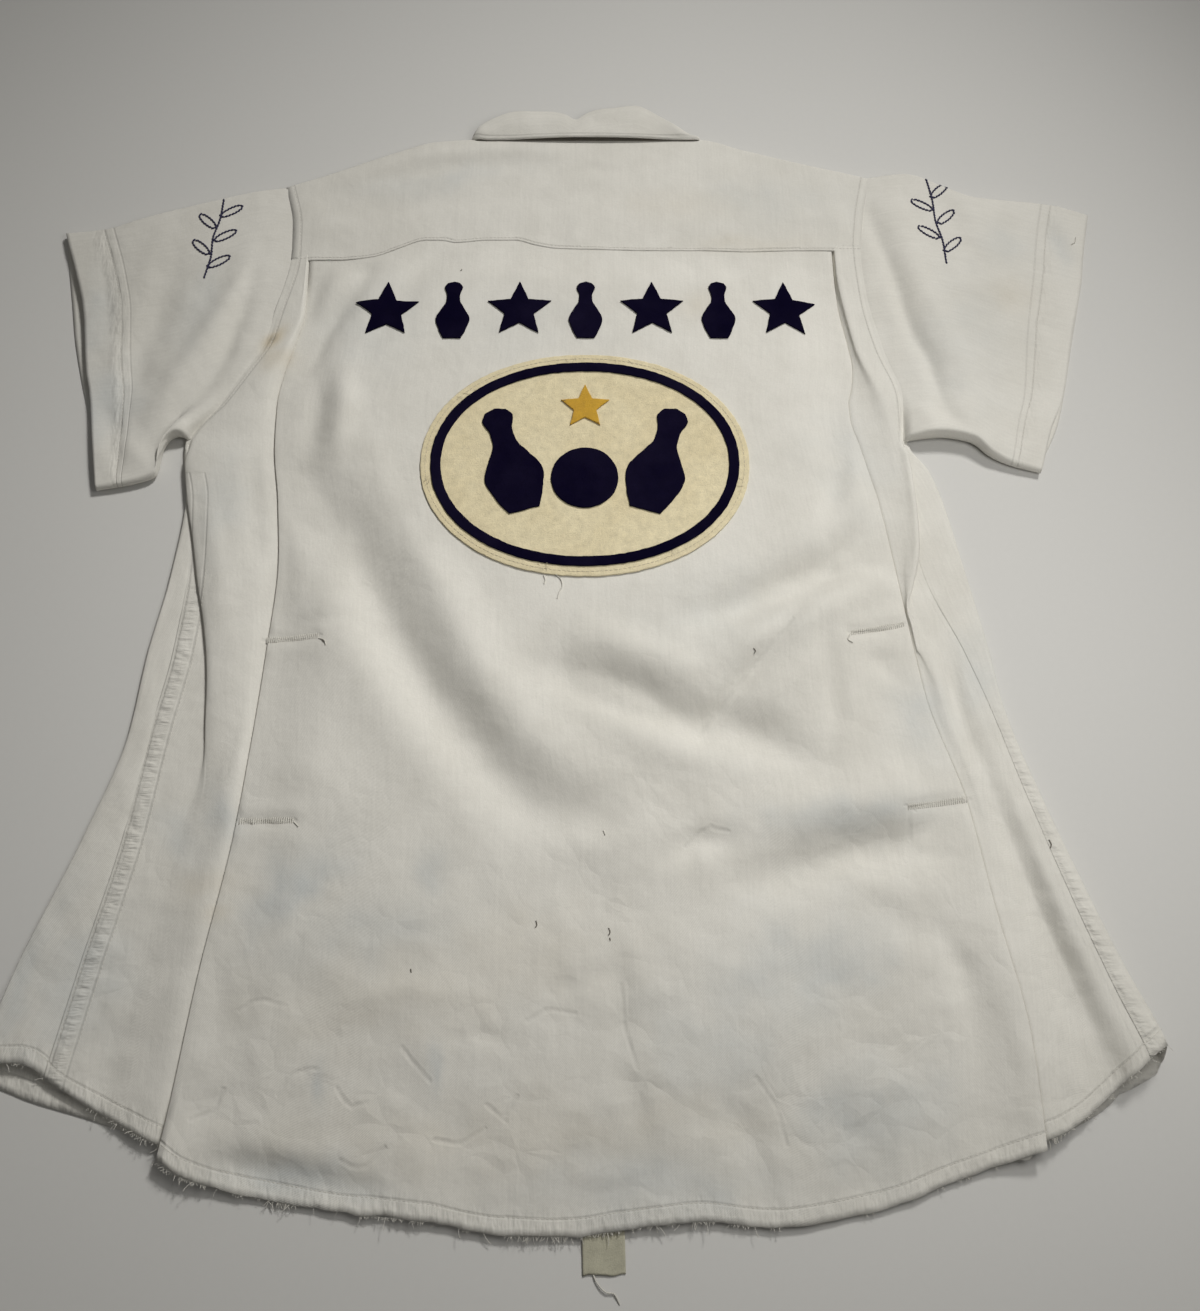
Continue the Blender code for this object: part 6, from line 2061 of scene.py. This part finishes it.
class SHIRT_OT_felt(ShirtOperator, Operator):
    """Make the felt patch, its ring and the felt motifs"""

    bl_idname = "shirt.felt"
    bl_label = "Felt"

    def make(self, scene):
        wall = scene.shirt_felt.wall / MM
        on_back, on_patch = felt_under(0.5), felt_under(0.55 + wall)
        x, y = PATCH_MIDDLE
        self.piece("patch_felt", [oval(0)], on_back, wall, "Cream felt", "cream_felt", "patch")
        ring = [oval(PATCH_MARGIN), oval(PATCH_MARGIN + RING_WIDTH)]
        self.piece("patch_ring_felt", ring, on_patch, wall, "Navy felt", "navy_felt", "patch_ring")
        for i in range(STARS):
            star_x = x + (2 * i - STARS + 1) * ROW_SPACING
            outline = star(star_x, FELT_ROW, STAR_RADIUS)
            self.piece(f"star_{i + 1}_felt", [outline], on_back, wall, "Navy felt", "navy_felt", f"star_{i + 1}")
        for i in range(STARS - 1):
            pin_x = x + (2 * i - STARS + 2) * ROW_SPACING
            outline = bowling_pin(pin_x, FELT_ROW, PIN_HEIGHT)
            self.piece(f"pin_{i + 1}_felt", [outline], on_back, wall, "Navy felt", "navy_felt", f"pin_{i + 1}")
        for i, away in enumerate((-1, 1)):
            pin_x, pin_y = x + away * PATCH_PIN["x"], y + PATCH_PIN["y"]
            outline = bowling_pin(pin_x, pin_y, PATCH_PIN["height"], -away * PATCH_PIN["lean"])
            node = f"patch_pin_{i + 1}"
            self.piece(f"{node}_felt", [outline], on_patch, wall, "Navy felt", "navy_felt", node)
        ball = disc(x, y + PATCH_BALL["y"], PATCH_BALL["radius"])
        self.piece("patch_ball_felt", [ball], on_patch, wall, "Navy felt", "navy_felt", "patch_ball")
        gold = star(x, y + PATCH_STAR["y"], PATCH_STAR["radius"])
        self.piece("patch_star_felt", [gold], on_patch, wall, "Gold felt", "gold_felt", "patch_star")

    def piece(self, name, outlines, under, wall, finish, slot, node):
        seed = 300 + sum(ord(letter) for letter in name)
        piece = felt_mesh(name, outlines, under, wall, seed=seed)
        dress(piece, shared_material(finish), slot, node)


class SHIRT_OT_label(ShirtOperator, Operator):
    """Make the blank label that shows below the hem"""

    bl_idname = "shirt.label"
    bl_label = "Label"

    def make(self, scene):
        path = route([(y, z) for y, z in LABEL_ROUTE])(np.linspace(0, 1, 34))
        across = np.linspace(*LABEL_X, 24)
        rows = []
        for share, (y, z) in zip(np.linspace(0, 1, 34), path):
            end = 0.9 * smooth_noise(across, 0 * across, 6, 231) * share**4
            x = mix(across, across + 0.8, share)
            rows.append(np.stack([x, y + end, z + 0.35 * smooth_noise(x, 0 * x + y, 9, 232) * share + 0 * x], -1))
        rows = np.array(rows)
        piece = cloth_piece("label_tape_piece", rows, None, 0.0007, shared_material("Label tape"))
        dress(piece, None, "label_tape", "label")


CLOTH_PIECES = (
    "back_cloth",
    "yoke_cloth",
    "front_left_cloth",
    "front_right_cloth",
    "sleeve_left_cloth",
    "sleeve_right_cloth",
    "collar_cloth",
    "patch_felt",
)


def level_line(side, offset, low, high, steps=60):
    y = np.linspace(low, high, steps)
    return [(side.edge(v) + side.inward * offset, v) for v in y]


def hem_points(offset):
    points = []
    for share in np.linspace(0, 1, 60):
        hem = float(back_hem(share))
        left, right = LEFT.pleat(hem), RIGHT.pleat(hem)
        points.append((mix(left, right, share), hem + offset))
    return points


def side_hem_points(side, offset):
    low, high = sorted((float(side.outline(-290)) + 3 * side.inward, float(side.pleat(-330)) - side.inward))
    return [(x, float(side.hem(x)) + offset) for x in np.linspace(low, high, 40)]


def sleeve_hem_points(side, edges, inset):
    plan = sleeve_plan(side, edges)
    length = math.dist(edges["top"][0], edges["top"][-1])
    downs = np.linspace(0.03, 0.97, 40)
    return plan(np.full(40, 1 - inset / length), downs, True)


class SHIRT_OT_seams(ShirtOperator, Operator):
    """Sew the seams, hems, bar tacks and the edge of the patch"""

    bl_idname = "shirt.seams"
    bl_label = "Seams"

    def make(self, scene):
        thread = scene.shirt_thread
        top = surface_tops(CLOTH_PIECES)
        across = np.linspace(LEFT.edge(YOKE_LEVEL) + 1, RIGHT.edge(YOKE_LEVEL) - 1, 80)
        seams = [[(x, yoke_seam(x) + 2.2) for x in across]]
        seams += [hem_points(9.5), side_hem_points(LEFT, 9.5), side_hem_points(RIGHT, 9.5)]
        seams += [level_line(side, 4.5, 112, 318) for side in (LEFT, RIGHT)]
        seams += [sleeve_hem_points(LEFT, LEFT_SLEEVE, SLEEVE_HEM), sleeve_hem_points(RIGHT, RIGHT_SLEEVE, SLEEVE_HEM)]
        seams += [level_line(LEFT, 0.9, -280, 8), level_line(LEFT, 12.3, -280, 8)]
        lines = [laid_line(points, top, -0.05) for points in seams]
        sizes = {"pitch": thread.pitch, "length": thread.length, "thickness": thread.thickness, "slant": 0.0}
        white = shared_material("White thread")
        piece = along_lines("seam_stitches", lines, "Stitches", white, seed=thread.seed, **sizes)
        bars = []
        for (x0, y0), (x1, y1) in TACKS:
            for shift in (-0.9, 0.0, 0.9):
                bars.append(laid_line([(x0, y0 + shift), (x1, y1 + shift)], top, 0.15))
        sizes.update(pitch=0.0013, length=0.0026, thickness=0.0009, slant=1.25)
        piece = along_lines("bar_tacks", bars, "Stitches", white, seed=thread.seed + 1, **sizes)
        edge = oval(3.2)
        edge = [tuple(p) for p in np.concatenate([edge, edge[:1]])]
        line = laid_line(edge, top, 0.0)
        sizes.update(pitch=0.0030, length=0.0026, thickness=0.0006, slant=0.0)
        piece = along_lines("patch_stitches", [line], "Stitches", shared_material("Cream thread"), seed=thread.seed + 2, **sizes)


SPRIG_STEM = ((0, -1), (0.08, -0.5), (-0.05, 0), (0.06, 0.5), (0, 1))
SPRIG_LEAVES = ((-0.72, 1), (-0.4, -1), (-0.05, 1), (0.28, -1), (0.6, 1))


def sprig_lines(middle_x, middle_y, half_height, turn, scale):
    """A stem with leaves on alternate sides, as closed loops of stitches."""
    lines = [route(SPRIG_STEM)(np.linspace(0, 1, 40)) * (scale * 14, half_height)]
    for up, way in SPRIG_LEAVES:
        t = np.linspace(0, 2 * np.pi, 26)
        leaf = np.stack([way * (1 - np.cos(t)) * scale * 7, np.sin(t) * scale * 3.4 + (1 - np.cos(t)) * scale * 4.5], -1)
        lines.append(leaf + (way * 0.6, up * half_height))
    c, s = math.cos(math.radians(turn)), math.sin(math.radians(turn))
    return [line @ np.array([[c, s], [-s, c]]) + (middle_x, middle_y) for line in lines]


class SHIRT_OT_sprigs(ShirtOperator, Operator):
    """Sew a small chain-stitched sprig on each sleeve"""

    bl_idname = "shirt.sprigs"
    bl_label = "Sleeve sprigs"

    def make(self, scene):
        top = surface_tops(["sleeve_left_cloth", "sleeve_right_cloth"])
        lines = []
        for sprig in (sprig_lines(-275, 266, 33, -6, 1.0), sprig_lines(241, 281, 36, 6, 1.0)):
            lines += [laid_line([tuple(p) for p in line], top, 0.15, 1.2) for line in sprig]
        sizes = {"pitch": 0.0024, "length": 0.0030, "thickness": 0.0015, "slant": 0.25}
        piece = along_lines("sleeve_sprigs", lines, "Stitches", shared_material("Navy thread"), seed=41, **sizes)


def tufts(lines, share, seed):
    """Short parts of the lines, which together are this share of them."""
    chance = np.random.default_rng(seed)
    parts = []
    for line in lines:
        at = int(chance.integers(0, 6))
        while at < len(line) - 3:
            count = int(chance.integers(3, 9))
            parts.append(line[at : at + count])
            at += count + int(chance.integers(1, 2 + round(12 * (1 - share) ** 2 / share)))
    return [part for part in parts if len(part) > 1]


class SHIRT_OT_frays(ShirtOperator, Operator):
    """Add the frayed threads of the hem, the patch and the label"""

    bl_idname = "shirt.frays"
    bl_label = "Frays"

    def make(self, scene):
        top = surface_tops(["back_cloth", "front_left_cloth", "front_right_cloth"])
        hems = [hem_points(0.7), side_hem_points(LEFT, 0.7), side_hem_points(RIGHT, 0.7)]
        edges = [laid_line(points, top, -0.4) for points in hems]
        split = len(edges[0]) * 5 // 9
        worn, neat = [edges[0][:split], edges[1], edges[2]], [edges[0][split:], edges[2]]
        white = shared_material("White thread")
        for name, lines, spacing, length, thickness, seed in (
            ("hem_fuzz", tufts(worn, 0.5, 511), 0.0007, 0.0024, 0.0004, 51),
            ("hem_tufts", tufts(worn, 0.22, 512), 0.0009, 0.0046, 0.0004, 52),
            ("hem_threads", worn, 0.013, 0.0075, 0.00045, 53),
            ("hem_fuzz_right", tufts(neat, 0.25, 513), 0.001, 0.0026, 0.0004, 55),
        ):
            sizes = {"spacing": spacing, "length": length, "thickness": thickness, "spread": 0.9}
            along_lines(name, lines, "Fringe", white, seed=seed, **sizes)
        edge = np.concatenate([oval(0.3), oval(0.3)[:1]])[::-1]
        line = np.column_stack([edge, felt_under(1.0)(edge[:, 0], edge[:, 1])])
        cream = shared_material("Cream thread")
        for name, lines, spacing, length, seed in (
            ("patch_frays", [line], 0.0009, 0.0032, 52),
            ("patch_tufts", tufts([line], 0.16, 514), 0.0008, 0.0075, 56),
        ):
            sizes.update(spacing=spacing, length=length, thickness=0.0003, spread=0.9)
            along_lines(name, lines, "Fringe", cream, seed=seed, **sizes)
        top = surface_tops(CLOTH_PIECES)
        for name, lines, lift, thickness, finish in (
            ("snags", SNAGS, 0.25, 0.0007, "Grey thread"),
            ("loose_threads", LOOSE_THREADS, 0.45, 0.0006, "White thread"),
        ):
            laid = [laid_line(line, top, lift, 0.5) for line in lines]
            along_lines(name, laid, "Loose thread", shared_material(finish), thickness=thickness, step=0.0005)
        xy = route(LABEL_THREAD)(np.linspace(0, 1, 40))
        z = 0.4 + 1.1 * np.sin(np.pi * np.linspace(0.1, 1, 40))
        line = np.column_stack([xy, z])
        piece = along_lines("label_thread", [line], "Loose thread", white, thickness=0.0008, step=0.0005)


class SHIRT_OT_stage(ShirtOperator, Operator):
    """Set the floor, the soft light and the camera"""

    bl_idname = "shirt.stage"
    bl_label = "Stage"

    def make(self, scene):
        stage = scene.shirt_stage
        mesh = bpy.data.meshes.new("floor")
        reach = 3
        corners = [(-reach, -reach, 0), (reach, -reach, 0), (reach, reach, 0), (-reach, reach, 0)]
        mesh.from_pydata(corners, [], [(0, 1, 2, 3)])
        mesh.materials.append(floor_material(stage.floor))
        floor = bpy.data.objects.new("floor", mesh)
        scene.collection.objects.link(floor)
        scene.view_settings.view_transform = "Standard"
        world = bpy.data.worlds.new("Soft room")
        scene.world = world
        world.use_nodes = True
        world.node_tree.nodes["Background"].inputs["Color"].default_value = (1, 0.985, 0.96, 1)
        world.node_tree.nodes["Background"].inputs["Strength"].default_value = stage.room
        lamps = (
            ("Large lamp", stage.key_power, stage.key_size, stage.key_spread, (0.601, 0.991, 1.202), (-0.169, -0.069, 0)),
            ("Small lamp", stage.fill_power, stage.fill_size, math.pi, (0.304, -0.088, 0.543), (0.304, -0.089, 0)),
        )
        for name, power, size, spread, location, target in lamps:
            lamp = bpy.data.lights.new(name, "AREA")
            lamp.energy, lamp.size, lamp.spread = power, size, spread
            lamp.color = (1, 0.99, 0.97)
            piece = bpy.data.objects.new(name, lamp)
            piece.location = location
            aim_at(piece, target)
            piece.visible_camera = False
            scene.collection.objects.link(piece)
        camera = bpy.data.objects.new("Camera", bpy.data.cameras.new("Camera"))
        camera.location = (0.0154, -0.292, stage.camera_height)
        camera.rotation_euler = (math.pi / 2 - stage.camera_tilt, 0, 0)
        camera.data.sensor_fit = "HORIZONTAL"
        camera.data.sensor_width = 36
        camera.data.lens = 36
        scene.collection.objects.link(camera)
        scene.camera = camera


def aim_at(piece, target):
    from mathutils import Vector

    piece.rotation_euler = (Vector(target) - piece.location).to_track_quat("-Z", "Y").to_euler()


class SHIRT_PT_panel(Panel):
    """Lists the steps that make the shirt"""

    bl_idname = "SHIRT_PT_panel"
    bl_label = "Shirt"
    bl_space_type = "VIEW_3D"
    bl_region_type = "UI"
    bl_category = "Shirt"

    def draw(self, context):
        for step in STEPS:
            self.layout.operator(step.bl_idname)
        for name in SETTINGS:
            group = getattr(context.scene, name)
            box = self.layout.box()
            for key in group.bl_rna.properties.keys():
                if key not in ("rna_type", "name"):
                    box.prop(group, key)


SETTINGS = {
    "shirt_cloth": ShirtCloth,
    "shirt_felt": ShirtFelt,
    "shirt_thread": ShirtThread,
    "shirt_stage": ShirtStage,
}
STEPS = (
    SHIRT_OT_stage,
    SHIRT_OT_back,
    SHIRT_OT_yoke,
    SHIRT_OT_fronts,
    SHIRT_OT_sleeves,
    SHIRT_OT_collar,
    SHIRT_OT_buttons,
    SHIRT_OT_felt,
    SHIRT_OT_label,
    SHIRT_OT_seams,
    SHIRT_OT_sprigs,
    SHIRT_OT_frays,
)


def register():
    for group in (*SETTINGS.values(), *STEPS, SHIRT_PT_panel):
        bpy.utils.register_class(group)
    for name, group in SETTINGS.items():
        setattr(bpy.types.Scene, name, PointerProperty(type=group))


def unregister():
    for name in SETTINGS:
        delattr(bpy.types.Scene, name)
    for group in reversed((*SETTINGS.values(), *STEPS, SHIRT_PT_panel)):
        bpy.utils.unregister_class(group)


def main():
    register()
    for step in STEPS:
        family, name = step.bl_idname.split(".")
        getattr(getattr(bpy.ops, family), name)()


if __name__ == "__main__":
    main()
